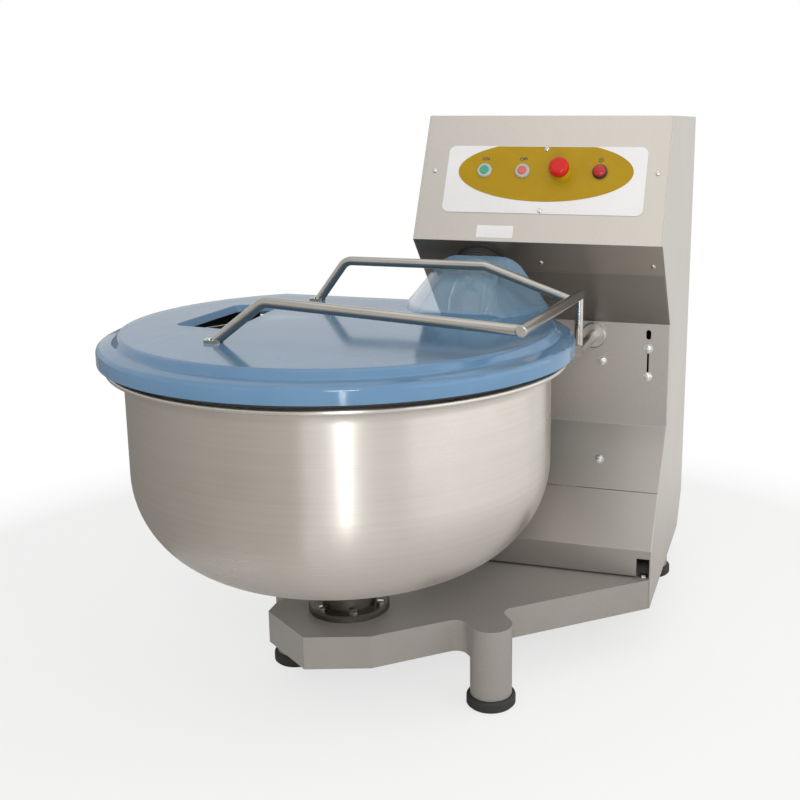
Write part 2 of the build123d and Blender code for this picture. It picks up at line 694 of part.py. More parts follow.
def make_bowl_spindle():
    shaft = Pos(0, 0, HOUSING_LOW) * rod(SPINDLE_R, HUB_Z + HUB_DROP - FREE - HOUSING_LOW)
    return shaft + Pos(0, 0, HOUSING_LOW - NUT_H - BASE_WALL / 2) * rod(SPINDLE_TAIL_R, NUT_H + BASE_WALL / 2)


def make_spindle_nut():
    nut = hexagon(NUT_R, NUT_H) - rod(SPINDLE_TAIL_R + FIT, NUT_H)
    return Pos(0, 0, HOUSING_LOW - NUT_H) * nut


def make_spindle_bearings():
    bearing = ring(SPINDLE_BEARING_R - FIT, SPINDLE_R + FIT, SPINDLE_BEARING_H)
    upper = Pos(0, 0, HOUSING_TOP - SPINDLE_BEARING_H - BASE_WALL) * bearing
    lower = Pos(0, 0, HOUSING_LOW + BASE_WALL) * bearing
    return group([upper, lower])


def make_bearing_housing():
    body = Pos(0, 0, HOUSING_LOW) * rod(SPINDLE_BEARING_R + HOUSING_WALL, HOUSING_TOP - HOUSING_LOW)
    flange = Pos(0, 0, BASE_TOP) * rod(HOUSING_FLANGE_R, HOUSING_FLANGE_H)
    flange = chamfer(flange.edges().group_by(Axis.Z)[-1], HOUSING_FLANGE_H / 4)
    housing = body + flange - Pos(0, 0, HOUSING_LOW) * rod(SPINDLE_BEARING_R, HOUSING_TOP - HOUSING_LOW)
    for hole in PolarLocations(HUB_BOLT_RING_R, HUB_BOLTS):
        housing -= Pos(0, 0, BASE_TOP) * hole * rod(HUB_BOLT_R + FIT, HOUSING_FLANGE_H)
    return housing


def make_hub_bolts():
    bolt = hexagon(BOLT_R, BOLT_H) + Pos(0, 0, -HOUSING_FLANGE_H - BASE_DECK) * rod(
        HUB_BOLT_R, HOUSING_FLANGE_H + BASE_DECK)
    seat = Pos(0, 0, BASE_TOP + HOUSING_FLANGE_H)
    return group([seat * hole * bolt for hole in PolarLocations(HUB_BOLT_RING_R, HUB_BOLTS)])


# Fork, arm and gearbox, in the arm's own frame: z runs down the arm from the wall
def make_kneading_fork():
    start = NOSE_OUT + FREE
    root = start + FORK_HUB_L
    hub = Pos(0, 0, start) * ring(FORK_HUB_R, SHAFT_R + FIT, FORK_HUB_L)
    neck_l = ARM_REACH - TINE_STRAIGHT - root
    crotch = Pos(0, 0, root) * Cone(FORK_HUB_R, SHAFT_R, neck_l / 2, align=(
        Align.CENTER, Align.CENTER, Align.MIN))
    turn = root + TINE_ROOT
    for side in (-1, 1):
        path = FilletPolyline((0, 0, turn), (side * TINE_SPREAD, 0, ARM_REACH - TINE_STRAIGHT),
                              (side * TINE_SPREAD, 0, ARM_REACH - TINE_R), radius=TINE_BEND)
        section = Plane(origin=path @ 0, z_dir=path % 0) * Circle(TINE_R)
        crotch += sweep(section, path)
        crotch += Pos(side * TINE_SPREAD, 0, ARM_REACH - TINE_R) * Sphere(TINE_R)
    bolt_hole = Rot(90, 0, 0) * Cylinder(CLAMP_BOLT_R + FIT, 2.1 * FORK_HUB_R)
    bolt_hole = Pos(0, 0, start + FORK_HUB_L / 2) * bolt_hole
    return ARM * (hub + crotch - bolt_hole)


def make_clamp_bolt():
    # Cross bolt through the fork hub and the shaft end.
    length = 2 * FORK_HUB_R + 2 * BOLT_H
    bolt = Cylinder(CLAMP_BOLT_R, length)
    for end in (-1, 1):
        low = FORK_HUB_R if end > 0 else -FORK_HUB_R - BOLT_H
        bolt += Pos(0, 0, low) * hexagon(CLAMP_HEAD_R, BOLT_H)
    return ARM * Pos(0, 0, NOSE_OUT + FREE + FORK_HUB_L / 2) * Rot(90, 0, 0) * bolt


def make_fork_shaft():
    low = -(CASE_FROM_WALL + CASE_L) + FREE
    high = NOSE_OUT + FORK_HUB_L
    shaft = Pos(0, 0, low) * rod(SHAFT_R, high - low)
    hole = Rot(90, 0, 0) * Cylinder(CLAMP_BOLT_R + FIT, 3 * SHAFT_R)
    hole = Pos(0, 0, NOSE_OUT + FREE + FORK_HUB_L / 2) * hole
    return ARM * (shaft - hole)


def make_gearbox_casing():
    back = -(CASE_FROM_WALL + CASE_L)
    case = block(-CASE_HALF_W, CASE_HALF_W, -CASE_LOW, CASE_HIGH, back, -CASE_FROM_WALL)
    case = fillet(case.edges().filter_by(Axis.Z), CASE_WALL)
    nose = Pos(0, 0, -CASE_FROM_WALL) * rod(NOSE_R, CASE_FROM_WALL + NOSE_OUT)
    case += nose
    case -= Pos(0, 0, back) * rod(WHEEL_R + CASE_TOP_ROOM, CASE_L - CASE_WALL)
    worm = Plane(origin=(-CASE_HALF_W, -WORM_BELOW, WHEEL_S), x_dir=(0, 1, 0), z_dir=(1, 0, 0))
    case -= worm * rod(WORM_BEARING_R + FIT, 2 * CASE_HALF_W)
    case -= Pos(0, 0, back) * rod(SHAFT_R + FREE, -back + NOSE_OUT)
    pocket = SEAL_L + FORK_BEARING_L
    case -= Pos(0, 0, NOSE_OUT - pocket) * rod(SHAFT_R + CASE_WALL / 2 + FIT, pocket)
    return ARM * case


def make_gearbox_cover():
    back = -(CASE_FROM_WALL + CASE_L)
    plate = block(-CASE_HALF_W, CASE_HALF_W, -CASE_LOW, CASE_HIGH, back - COVER_T, back)
    plate = fillet(plate.edges().filter_by(Axis.Z), CASE_WALL)
    boss = Pos(0, 0, back) * ring(SHAFT_R + 2 * CASE_WALL, SHAFT_R + CASE_WALL + FIT, FORK_BEARING_L)
    return ARM * (plate + boss)


def make_fork_bearings():
    front = Pos(0, 0, NOSE_OUT - SEAL_L - FORK_BEARING_L) * ring(
        SHAFT_R + CASE_WALL / 2, SHAFT_R + FIT, FORK_BEARING_L)
    rear = Pos(0, 0, -(CASE_FROM_WALL + CASE_L)) * ring(SHAFT_R + CASE_WALL, SHAFT_R + FIT, FORK_BEARING_L)
    return ARM * group([front, rear])


def make_shaft_seal():
    return ARM * Pos(0, 0, NOSE_OUT - SEAL_L) * ring(SHAFT_R + CASE_WALL / 2, SHAFT_R + FIT, SEAL_L)


def make_worm_wheel():
    wheel = ring(WHEEL_R, SHAFT_R + FIT, WHEEL_W)
    gap = math.pi * WHEEL_R / WHEEL_TEETH
    cutter = block(WHEEL_R - TOOTH_DEPTH, WHEEL_R + TOOTH_DEPTH, -gap / 2, gap / 2, 0, WHEEL_W)
    cutters = [tooth * cutter for tooth in PolarLocations(0, WHEEL_TEETH)]
    return ARM * Pos(0, 0, WHEEL_S - WHEEL_W / 2) * (wheel - cutters)


def make_worm_shaft():
    # Worm shaft across the casing, out to the driven pulley on the right.
    low = ARM_X - CASE_HALF_W
    shaft = rod(WORM_SHAFT_R, PULLEY_X1 - low)
    threads = 2 * CASE_HALF_W - 2 * WORM_BEARING_W - 2 * CASE_WALL
    pitch = threads / WORM_RIDGES
    for k in range(WORM_RIDGES):
        start = WORM_BEARING_W + CASE_WALL + k * pitch
        shaft += Pos(0, 0, start) * Cone(WORM_SHAFT_R, WORM_R, pitch / 3, align=(
            Align.CENTER, Align.CENTER, Align.MIN))
        shaft += Pos(0, 0, start + pitch / 3) * Cone(WORM_R, WORM_SHAFT_R, pitch / 3, align=(
            Align.CENTER, Align.CENTER, Align.MIN))
    return along_x(low, WORM_Y, WORM_Z) * shaft


def make_worm_bearings():
    bearing = ring(WORM_BEARING_R, WORM_SHAFT_R + FIT, WORM_BEARING_W)
    left = along_x(ARM_X - CASE_HALF_W, WORM_Y, WORM_Z) * bearing
    right = along_x(ARM_X + CASE_HALF_W - WORM_BEARING_W, WORM_Y, WORM_Z) * bearing
    return group([left, right])


def make_gearbox_stand():
    # Two upright plates under a sloping seat that the casing is bolted to.
    back, front = -(CASE_FROM_WALL + CASE_L), -CASE_FROM_WALL
    seat = ARM * block(-CASE_HALF_W, CASE_HALF_W, -CASE_LOW - STAND_T, -CASE_LOW, back, front)
    low = CASE_LOW + STAND_T
    profile = [(STAND_FOOT[0], BASE_TOP), (STAND_FOOT[1], BASE_TOP),
               along_arm(back, low), along_arm(front, low)]
    stand = seat
    for x in (ARM_X - CASE_HALF_W, ARM_X + CASE_HALF_W - STAND_T):
        stand += side_prism(profile, x, x + STAND_T)
    sole = block(ARM_X - CASE_HALF_W, ARM_X + CASE_HALF_W, *STAND_FOOT, BASE_TOP, BASE_TOP + STAND_T)
    return stand + sole


# Belt drive and motor
def groove_offsets():
    step = PULLEY_W / GROOVES
    return [(k + 0.5) * step for k in range(GROOVES)]


def make_pulley(radius, bore):
    pulley = ring(radius, bore + FIT, PULLEY_W)
    for middle in groove_offsets():
        pulley -= Pos(0, 0, middle - GROOVE_W / 2) * ring(radius + FREE, radius - GROOVE_DEPTH, GROOVE_W)
    return pulley


def make_driven_pulley():
    pulley = make_pulley(DRIVEN_R, WORM_SHAFT_R)
    rim = DRIVEN_R - GROOVE_DEPTH - PULLEY_WEB / 2
    dish = ring(rim, 2 * WORM_SHAFT_R, (PULLEY_W - PULLEY_WEB) / 2)
    pulley -= dish
    pulley -= Pos(0, 0, (PULLEY_W + PULLEY_WEB) / 2) * dish
    hole = rod((rim - 2 * WORM_SHAFT_R) / 3, PULLEY_W)
    for place in PolarLocations((rim + 2 * WORM_SHAFT_R) / 2, PULLEY_HOLES):
        pulley -= place * hole
    return along_x(PULLEY_X0, WORM_Y, WORM_Z) * pulley


def make_motor_pulley():
    return along_x(PULLEY_X0, MOTOR_Y, MOTOR_Z) * make_pulley(DRIVER_R, MOTOR_SHAFT_R)


def belt_loop(x, grow):
    # Plate bounded by the belt line round both pulleys, grown outward from the groove bottoms.
    frame = Plane(origin=(x, 0, 0), x_dir=(0, 1, 0), z_dir=(1, 0, 0))
    driven = Pos(WORM_Y, WORM_Z) * CenterArc((0, 0), DRIVEN_R - GROOVE_DEPTH + grow, 0, 360)
    driver = Pos(MOTOR_Y, MOTOR_Z) * CenterArc((0, 0), DRIVER_R - GROOVE_DEPTH + grow, 0, 360)
    return extrude(frame * make_hull([*driven.edges(), *driver.edges()]), BELT_W, dir=(1, 0, 0))


def make_drive_belts():
    belts = []
    for middle in groove_offsets():
        x = PULLEY_X0 + middle - BELT_W / 2
        belts.append(belt_loop(x, FREE + BELT_T) - belt_loop(x, FREE))
    return group(belts)


def make_motor_housing():
    body = rod(MOTOR_R, MOTOR_L) - rod(MOTOR_SHAFT_R + FREE, MOTOR_L)
    fin = block(MOTOR_R - FIN_T, MOTOR_R + FIN_H, -FIN_T / 2, FIN_T / 2, MOTOR_L / 8, MOTOR_L * 7 / 8)
    body = body + [place * fin for place in PolarLocations(0, FINS)]
    housing = along_x(MOTOR_X0, MOTOR_Y, MOTOR_Z) * body
    low = MOTOR_Z - MOTOR_R - FIN_H - MOUNT_T
    foot = block(MOTOR_X0 + MOTOR_L / 8, MOTOR_X1 - MOTOR_L / 8,
                 MOTOR_Y - MOUNT_HALF_W, MOTOR_Y + MOUNT_HALF_W, low, low + MOUNT_T)
    for side in (-1, 1):
        y = MOTOR_Y + side * MOUNT_HALF_W / 2
        foot += block(MOTOR_X0 + MOTOR_L / 8, MOTOR_X1 - MOTOR_L / 8, y - MOUNT_T, y + MOUNT_T,
                      low, MOTOR_Z - MOTOR_R + MOTOR_SINK)
    box = block(MOTOR_X0 + MOTOR_L / 4, MOTOR_X1 - MOTOR_L / 4, MOTOR_Y - MOTOR_R / 2, MOTOR_Y + MOTOR_R / 2,
                MOTOR_Z + MOTOR_R - MOTOR_SINK, MOTOR_Z + MOTOR_R + 3 * FIN_H)
    return housing + foot + box


def make_fan_cover():
    cup = rod(MOTOR_R, FAN_COVER_L) - Pos(0, 0, SHEET) * rod(MOTOR_R - SHEET, FAN_COVER_L)
    vent = rod(VENT_R, SHEET)
    for k, radius in enumerate(VENT_RINGS_R):
        cup = cup - [place * vent for place in PolarLocations(radius, VENT_COUNT * (k + 1))]
    return along_x(MOTOR_X0 - FAN_COVER_L, MOTOR_Y, MOTOR_Z) * cup


def make_motor_shaft():
    # Rotor shaft with its cooling fan, from the fan cover to the motor pulley.
    start = MOTOR_X0 - FAN_COVER_L / 2
    shaft = rod(MOTOR_SHAFT_R, PULLEY_X1 - start)
    blade = block(0, FAN_R, -SHEET, SHEET, 0, FAN_COVER_L / 3)
    shaft = shaft + [place * blade for place in PolarLocations(0, FAN_BLADES)]
    return along_x(start, MOTOR_Y, MOTOR_Z) * shaft


def make_motor_mount():
    top = MOTOR_Z - MOTOR_R - FIN_H - MOUNT_T
    mount = block(MOTOR_X0, MOTOR_X1, MOTOR_Y - MOUNT_HALF_W, MOTOR_Y + MOUNT_HALF_W, top - MOUNT_T, top)
    for side in (-1, 1):
        outer = MOTOR_Y + side * MOUNT_HALF_W
        inner = outer - side * MOUNT_T
        mount += block(MOTOR_X0, MOTOR_X1, min(outer, inner), max(outer, inner), BASE_TOP, top)
    return mount


# Lid, in the bowl's frame
def lid_section(shrink):
    # Half section of the lid: skirt, rolled ledge, step and flat crown.
    top = LID_TOP - shrink
    skirt = LID_R - shrink
    ledge = LID_Z + LID_SKIRT - shrink + LID_LEDGE_RISE / 2
    step = skirt - LID_LEDGE
    corners = [(0, LID_Z), (skirt, LID_Z), (skirt, ledge), (step, ledge + LID_LEDGE_RISE / 2),
               (step - LID_STEP, top), (0, top)]
    face = make_face(Polyline(*corners, close=True))
    rolls = LID_ROLL - shrink, LID_FOOT_ROUND + shrink, LID_CROWN_ROUND - shrink
    for (x, z), radius in zip(corners[2:5], rolls):
        face = fillet(face.vertices().sort_by_distance((x, z, 0))[0], radius)
    return face


def lid_body(shrink):
    body = revolve(Plane.XZ * lid_section(shrink), Axis.Z)
    behind = block(-LID_R, LID_R, LID_BACK - shrink, 2 * LID_R, 0, COL_TOP)
    return body - behind


def hood_top(y):
    # Height of the hood's roof line: level with the arm at the back, falling to the crown in front.
    back_y, back_z = LID_BACK, along_arm(0)[1] + (LID_BACK - along_arm(0)[0]) * math.tan(TILT)
    back_z += NOSE_R / math.cos(TILT) + HOOD_CLEAR + LID_WALL
    mid_y, mid_z = LID_BACK - HOOD_MID_IN, back_z - HOOD_FALL
    front_y, front_z = LID_BACK - HOOD_FRONT_IN, LID_TOP + LID_WALL + FREE
    if y > mid_y:
        return mid_z + (back_z - mid_z) * (y - mid_y) / (back_y - mid_y)
    return front_z + (mid_z - front_z) * (y - front_y) / (mid_y - front_y)


def hood_section(y, spread, shrink):
    # Round-shouldered section across the hood, with straight lips that reach below the crown.
    left, right, top_left, top_right = spread
    left, right = left + shrink, right - shrink
    base = LID_TOP - LID_WALL
    top = hood_top(min(y, LID_BACK)) - shrink
    arch = FilletPolyline((left, base), (top_left + shrink / 2, top), (top_right - shrink / 2, top),
                          (right, base), radius=HOOD_ROUND - shrink)
    lips = Polyline((right, base), (right, base - HOOD_LIP), (left, base - HOOD_LIP), (left, base))
    plane = Plane(origin=(0, y, 0), x_dir=(1, 0, 0), z_dir=(0, -1, 0))
    return plane * make_face(Curve() + [arch, lips])


def hood_body(shrink):
    front = LID_BACK - HOOD_FRONT_IN + 2 * shrink
    sections = [hood_section(LID_BACK, HOOD_BACK, shrink),
                hood_section(LID_BACK - HOOD_MID_IN, HOOD_MID, shrink),
                hood_section(front, HOOD_FRONT, shrink)]
    return loft(sections)


def window_body(shrink):
    # Tapering feed funnel below the lid's crown.
    def outline(z, inset):
        face = make_face(Polyline(*WINDOW, close=True))
        face = fillet(face.vertices(), WINDOW_ROUND)
        return Pos(0, 0, z) * offset(face, -inset)

    reach = LID_WALL if shrink else 0
    high = outline(LID_TOP + reach, shrink)
    low = outline(LID_TOP - WINDOW_DEPTH - reach, shrink + WINDOW_DRAFT)
    return loft([high, low], ruled=True)


def make_lid_shell():
    hood_out = hood_body(0)
    hood_in = hood_body(LID_WALL)
    mouth = extrude(hood_section(LID_BACK, HOOD_BACK, LID_WALL), 2 * LID_WALL, dir=(0, 1, 0))
    mouth += block(HOOD_BACK[0] + LID_WALL, ARM_X + HOOD_NOTCH, LID_BACK - 2 * LID_WALL, LID_BACK + LID_WALL,
                   LID_Z - LID_WALL, LID_TOP - LID_WALL)
    hollow = lid_body(LID_WALL)
    shell = lid_body(0) + hood_out - hollow
    shell += window_body(0) & lid_body(0)
    return shell - hood_in - mouth - window_body(LID_WALL)


def bent_tube(*points):
    path = FilletPolyline(*points, radius=TUBE_BEND) if len(points) > 2 else Line(*points)
    section = Plane(origin=path @ 0, z_dir=path % 0)
    return sweep(section * Circle(TUBE_R), path)


def tube_foot(x, y):
    # Flattened end of a lid tube, lying on the crown and screwed to it.
    length, width, height = TUBE_FOOT
    foot = block(x - length, x, y - width / 2, y + width / 2, LID_TOP, LID_TOP + height)
    foot = fillet(foot.edges().filter_by(Axis.Z), width / 3)
    return foot - Pos(x - length + width / 3, y, LID_TOP) * rod(SHANK_R + FIT, height)


HINGE_LINE = (Vector(HINGE_FRONT[0], HINGE_FRONT[1], LID_TOP + HINGE_FRONT[2]),
              Vector(PIVOT_X, LID_BACK + HINGE_BEHIND, LID_TOP + HINGE_BACK_UP))


def hinge_point(y):
    share = (y - HINGE_LINE[0].Y) / (HINGE_LINE[1].Y - HINGE_LINE[0].Y)
    return HINGE_LINE[0] + (HINGE_LINE[1] - HINGE_LINE[0]) * share


def hinge_rod(radius):
    line = HINGE_LINE[1] - HINGE_LINE[0]
    return Plane(origin=HINGE_LINE[0], z_dir=line) * rod(radius, line.length)


def make_near_lid_tube():
    y = NEAR_TUBE_Y
    start = (NEAR_FOOT_X - TUBE_R, y, LID_TOP + TUBE_R / 2)
    corner = (NEAR_CORNER[0], y, LID_TOP + NEAR_CORNER[1])
    tube = bent_tube(start, corner, hinge_point(y)) + tube_foot(NEAR_FOOT_X, y)
    tube -= Pos(0, y, LID_TOP - COL_TOP) * block(-LID_R, LID_R, -LID_R, LID_R, 0, COL_TOP)
    return tube - hinge_rod(HINGE_TUBE_R + FIT)


def make_far_lid_tube():
    y = FAR_TUBE_Y
    high = hood_top(y) + FAR_OVER_HOOD + TUBE_R
    start = (FAR_FOOT_X - TUBE_R, y, LID_TOP + TUBE_R / 2)
    bend = FAR_BEND_X, y, high
    tube = bent_tube(start, (FAR_CORNER_X, y, high), bend, hinge_point(y - FAR_LEAN))
    tube += tube_foot(FAR_FOOT_X, y)
    tube -= Pos(0, 0, LID_TOP - COL_TOP) * block(-LID_R, LID_R, -LID_R, LID_R, 0, COL_TOP)
    return tube - hinge_rod(HINGE_TUBE_R + FIT)


def make_hinge_tube():
    tube = hinge_rod(HINGE_TUBE_R)
    return fillet(tube.edges().filter_by(GeomType.CIRCLE), HINGE_END_ROUND)


def make_hinge_post():
    top = hinge_point(POST_Y).Z
    post = Pos(PIVOT_X, POST_Y, PIVOT_Z) * rod(POST_R, top - PIVOT_Z)
    return post - hinge_rod(HINGE_TUBE_R + FIT) - along_y(PIVOT_X, 0, PIVOT_Z) * rod(PIVOT_R + FIT, COL_BACK)


def make_lid_screws():
    length, width, height = TUBE_FOOT
    screw = make_screw()
    places = [(NEAR_FOOT_X, NEAR_TUBE_Y), (FAR_FOOT_X, FAR_TUBE_Y)]
    return group([Pos(x - length + width / 3, y, LID_TOP + height) * screw for x, y in places])


def make_pivot_shaft():
    # Shaft that the lid turns on, with the flat-sided cam for the limit switch inside the column.
    start = POST_Y - PIVOT_R
    end = WAIST_Y + SHEET + BRACKET_DEPTH
    shaft = along_y(PIVOT_X, start, PIVOT_Z) * rod(PIVOT_R, end - start)
    cam_y = WAIST_Y + SHEET + (BRACKET_DEPTH - CAM_W) / 2
    cam = along_y(PIVOT_X, cam_y, PIVOT_Z) * rod(CAM_R, CAM_W)
    cam -= block(PIVOT_X + CAM_FLAT, PIVOT_X + CAM_R, cam_y, cam_y + CAM_W, PIVOT_Z - CAM_R, PIVOT_Z + CAM_R)
    return shaft + cam


def make_pivot_flange():
    flange = ring(PIVOT_FLANGE_R, PIVOT_R + FIT, PIVOT_FLANGE_T)
    flange = chamfer(flange.edges().group_by(Axis.Z)[0].sort_by(SortBy.RADIUS)[-1:], PIVOT_FLANGE_T / 4)
    return along_y(PIVOT_X, WAIST_Y - PIVOT_FLANGE_T, PIVOT_Z) * flange


def make_pivot_bracket():
    # Bracket behind the wall: foot plate, roof that carries the limit switch, and rear bearing plate.
    y0 = WAIST_Y + SHEET
    y1 = y0 + BRACKET_DEPTH
    roof = PIVOT_Z + CAM_R + FREE + BRACKET_T / 2
    x_low, x_high = PIVOT_X - BRACKET_HALF_W, PIVOT_X + BRACKET_HALF_W
    bracket = block(x_low, x_high, y1 - PIVOT_BEARING_L, y1, PIVOT_Z - CAM_R, roof + BRACKET_T)
    bracket += block(x_low, x_high, y0, y1, roof, roof + BRACKET_T)
    for x in (x_low, x_high - BRACKET_T):
        bracket += block(x, x + BRACKET_T, y0, y1, PIVOT_Z - CAM_R, roof + BRACKET_T)
    bracket -= along_y(PIVOT_X, y0, PIVOT_Z) * rod(PIVOT_R + FIT, BRACKET_DEPTH)
    return bracket - Pos(PIVOT_X, (y0 + y1) / 2, roof) * rod(PLUNGER_R + FREE, BRACKET_T)


def make_limit_switch():
    roof = PIVOT_Z + CAM_R + FREE + BRACKET_T / 2 + BRACKET_T
    middle = WAIST_Y + SHEET + BRACKET_DEPTH / 2
    wide, deep, high = SWITCH
    body = block(PIVOT_X - wide / 2, PIVOT_X + wide / 2,
                 middle - deep / 2, middle + deep / 2, roof, roof + high)
    plunger = Pos(PIVOT_X, middle, PIVOT_Z + CAM_R + FREE) * rod(PLUNGER_R, roof - PIVOT_Z - CAM_R)
    return fillet(body.edges().filter_by(Axis.Z), SHEET) + plunger


# Electrics
def make_electrical_box():
    wide, deep, high = EBOX
    back = COL_BACK - SHEET - EBOX_BACK
    box = block(IN_RIGHT - wide, IN_RIGHT, back - deep, back, EBOX_Z, EBOX_Z + high)
    return fillet(box.edges().filter_by(Axis.X), SHEET * 2)


def make_cable_gland():
    # Closed gland in the rear cover: neck, lock nut inside and a blind dome nut outside.
    neck = rod(GLAND_NECK_R, SHEET)
    nut = hexagon(GLAND_R, GLAND_OUT / 2)
    dome = rod(GLAND_DOME_R, GLAND_OUT / 2)
    dome = fillet(dome.edges().group_by(Axis.Z)[-1], GLAND_R / 3)
    body = neck + Pos(0, 0, SHEET) * nut + Pos(0, 0, SHEET + GLAND_OUT / 2) * dome
    body += Pos(0, 0, -GLAND_OUT / 4) * hexagon(GLAND_R, GLAND_OUT / 4)
    return along_y(GLAND_X, COL_BACK - SHEET, GLAND_Z) * body


def make_all():
    start, stop, estop, lamp = button_places()
    return {
        "base_frame": make_base_frame(),
        "right_front_leg": make_front_leg(RIGHT_LEG),
        "left_front_leg": make_front_leg(LEFT_LEG),
        "rear_legs": make_rear_legs(),
        "rubber_feet": make_rubber_feet(),
        "left_side_panel": make_side_panel(COL_LEFT),
        "right_side_panel": make_side_panel(IN_RIGHT),
        "console_fascia": make_console_fascia(),
        "recess_panel": make_recess_panel(),
        "kick_panel": make_kick_panel(),
        "rear_cover": make_rear_cover(),
        "panel_screws": make_panel_screws(),
        "wall_bolts": make_wall_bolts(),
        "control_plate": make_control_plate(),
        "oval_field": make_oval_field(),
        "button_bezels": group([make_bezel(start), make_bezel(stop)]),
        "start_button": make_push_button(start),
        "stop_button": make_push_button(stop),
        "estop_collar": make_estop_collar(estop),
        "estop_button": make_estop_button(estop),
        "lamp_bezel": make_bezel(lamp),
        "lamp_lens": make_lamp_lens(lamp),
        "contact_blocks": make_contact_blocks(),
        "bowl": make_bowl(),
        "bowl_hub": make_bowl_hub(),
        "bowl_spindle": make_bowl_spindle(),
        "spindle_nut": make_spindle_nut(),
        "spindle_bearings": make_spindle_bearings(),
        "bearing_housing": make_bearing_housing(),
        "hub_bolts": make_hub_bolts(),
        "kneading_fork": make_kneading_fork(),
        "clamp_bolt": make_clamp_bolt(),
        "fork_shaft": make_fork_shaft(),
        "shaft_seal": make_shaft_seal(),
        "fork_bearings": make_fork_bearings(),
        "gearbox_casing": make_gearbox_casing(),
        "gearbox_cover": make_gearbox_cover(),
        "gearbox_stand": make_gearbox_stand(),
        "worm_wheel": make_worm_wheel(),
        "worm_shaft": make_worm_shaft(),
        "worm_bearings": make_worm_bearings(),
        "driven_pulley": make_driven_pulley(),
        "drive_belts": make_drive_belts(),
        "motor_pulley": make_motor_pulley(),
        "motor_shaft": make_motor_shaft(),
        "motor_housing": make_motor_housing(),
        "fan_cover": make_fan_cover(),
        "motor_mount": make_motor_mount(),
        "lid_shell": make_lid_shell(),
        "near_lid_tube": make_near_lid_tube(),
        "far_lid_tube": make_far_lid_tube(),
        "hinge_tube": make_hinge_tube(),
        "hinge_post": make_hinge_post(),
        "lid_screws": make_lid_screws(),
        "pivot_shaft": make_pivot_shaft(),
        "pivot_flange": make_pivot_flange(),
        "pivot_bracket": make_pivot_bracket(),
        "limit_switch": make_limit_switch(),
        "electrical_box": make_electrical_box(),
        "cable_gland": make_cable_gland(),
    }


os.makedirs("parts", exist_ok=True)
to_origin = Pos(-CENTRE_X, -CENTRE_Y, 0)
for node, shape in make_all().items():
    export_step(to_origin * shape, f"parts/{node}.step")
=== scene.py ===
import math

import bmesh
import bpy
from mathutils import Matrix, Vector


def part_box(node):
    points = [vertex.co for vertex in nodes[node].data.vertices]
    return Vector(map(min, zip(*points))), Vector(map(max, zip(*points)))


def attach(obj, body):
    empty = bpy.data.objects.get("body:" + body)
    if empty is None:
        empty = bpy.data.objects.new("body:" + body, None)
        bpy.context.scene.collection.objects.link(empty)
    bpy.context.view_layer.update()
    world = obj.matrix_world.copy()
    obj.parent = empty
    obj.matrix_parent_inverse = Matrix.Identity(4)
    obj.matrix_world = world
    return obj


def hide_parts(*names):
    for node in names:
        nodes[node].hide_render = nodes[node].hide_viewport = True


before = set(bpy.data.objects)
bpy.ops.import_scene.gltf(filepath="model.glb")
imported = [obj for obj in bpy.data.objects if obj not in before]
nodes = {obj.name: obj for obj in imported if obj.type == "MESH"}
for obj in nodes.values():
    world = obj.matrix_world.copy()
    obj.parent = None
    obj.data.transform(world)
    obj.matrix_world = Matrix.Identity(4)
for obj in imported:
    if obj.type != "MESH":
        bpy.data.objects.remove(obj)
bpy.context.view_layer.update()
mm = 0.001
print("frame loaded with", len(nodes), "nodes")


def toLinear(hexColour):
    channels = [int(hexColour[k:k + 2], 16) / 255 for k in (0, 2, 4)]
    return [c / 12.92 if c <= 0.04045 else ((c + 0.055) / 1.055) ** 2.4 for c in channels] + [1.0]


def addNode(tree, kind, inputs=None, **settings):
    node = tree.nodes.new(kind)
    for key, value in settings.items():
        setattr(node, key, value)
    for key, value in (inputs or {}).items():
        if isinstance(value, bpy.types.NodeSocket):
            tree.links.new(value, node.inputs[key])
        else:
            node.inputs[key].default_value = value
    return node


def addObject(name, data):
    thing = bpy.data.objects.new(name, data)
    bpy.context.scene.collection.objects.link(thing)
    return thing


def toMesh(shape, name):
    mesh = bpy.data.meshes.new(name)
    shape.to_mesh(mesh)
    shape.free()
    return mesh


def newTree(name):
    material = bpy.data.materials.new(name)
    material.use_nodes = True
    material.node_tree.nodes.clear()
    return material, material.node_tree


# Grain times mottle runs over this span from a finish's base to its shade
grainSpan = {"From Min": 0.1, "From Max": 0.42}


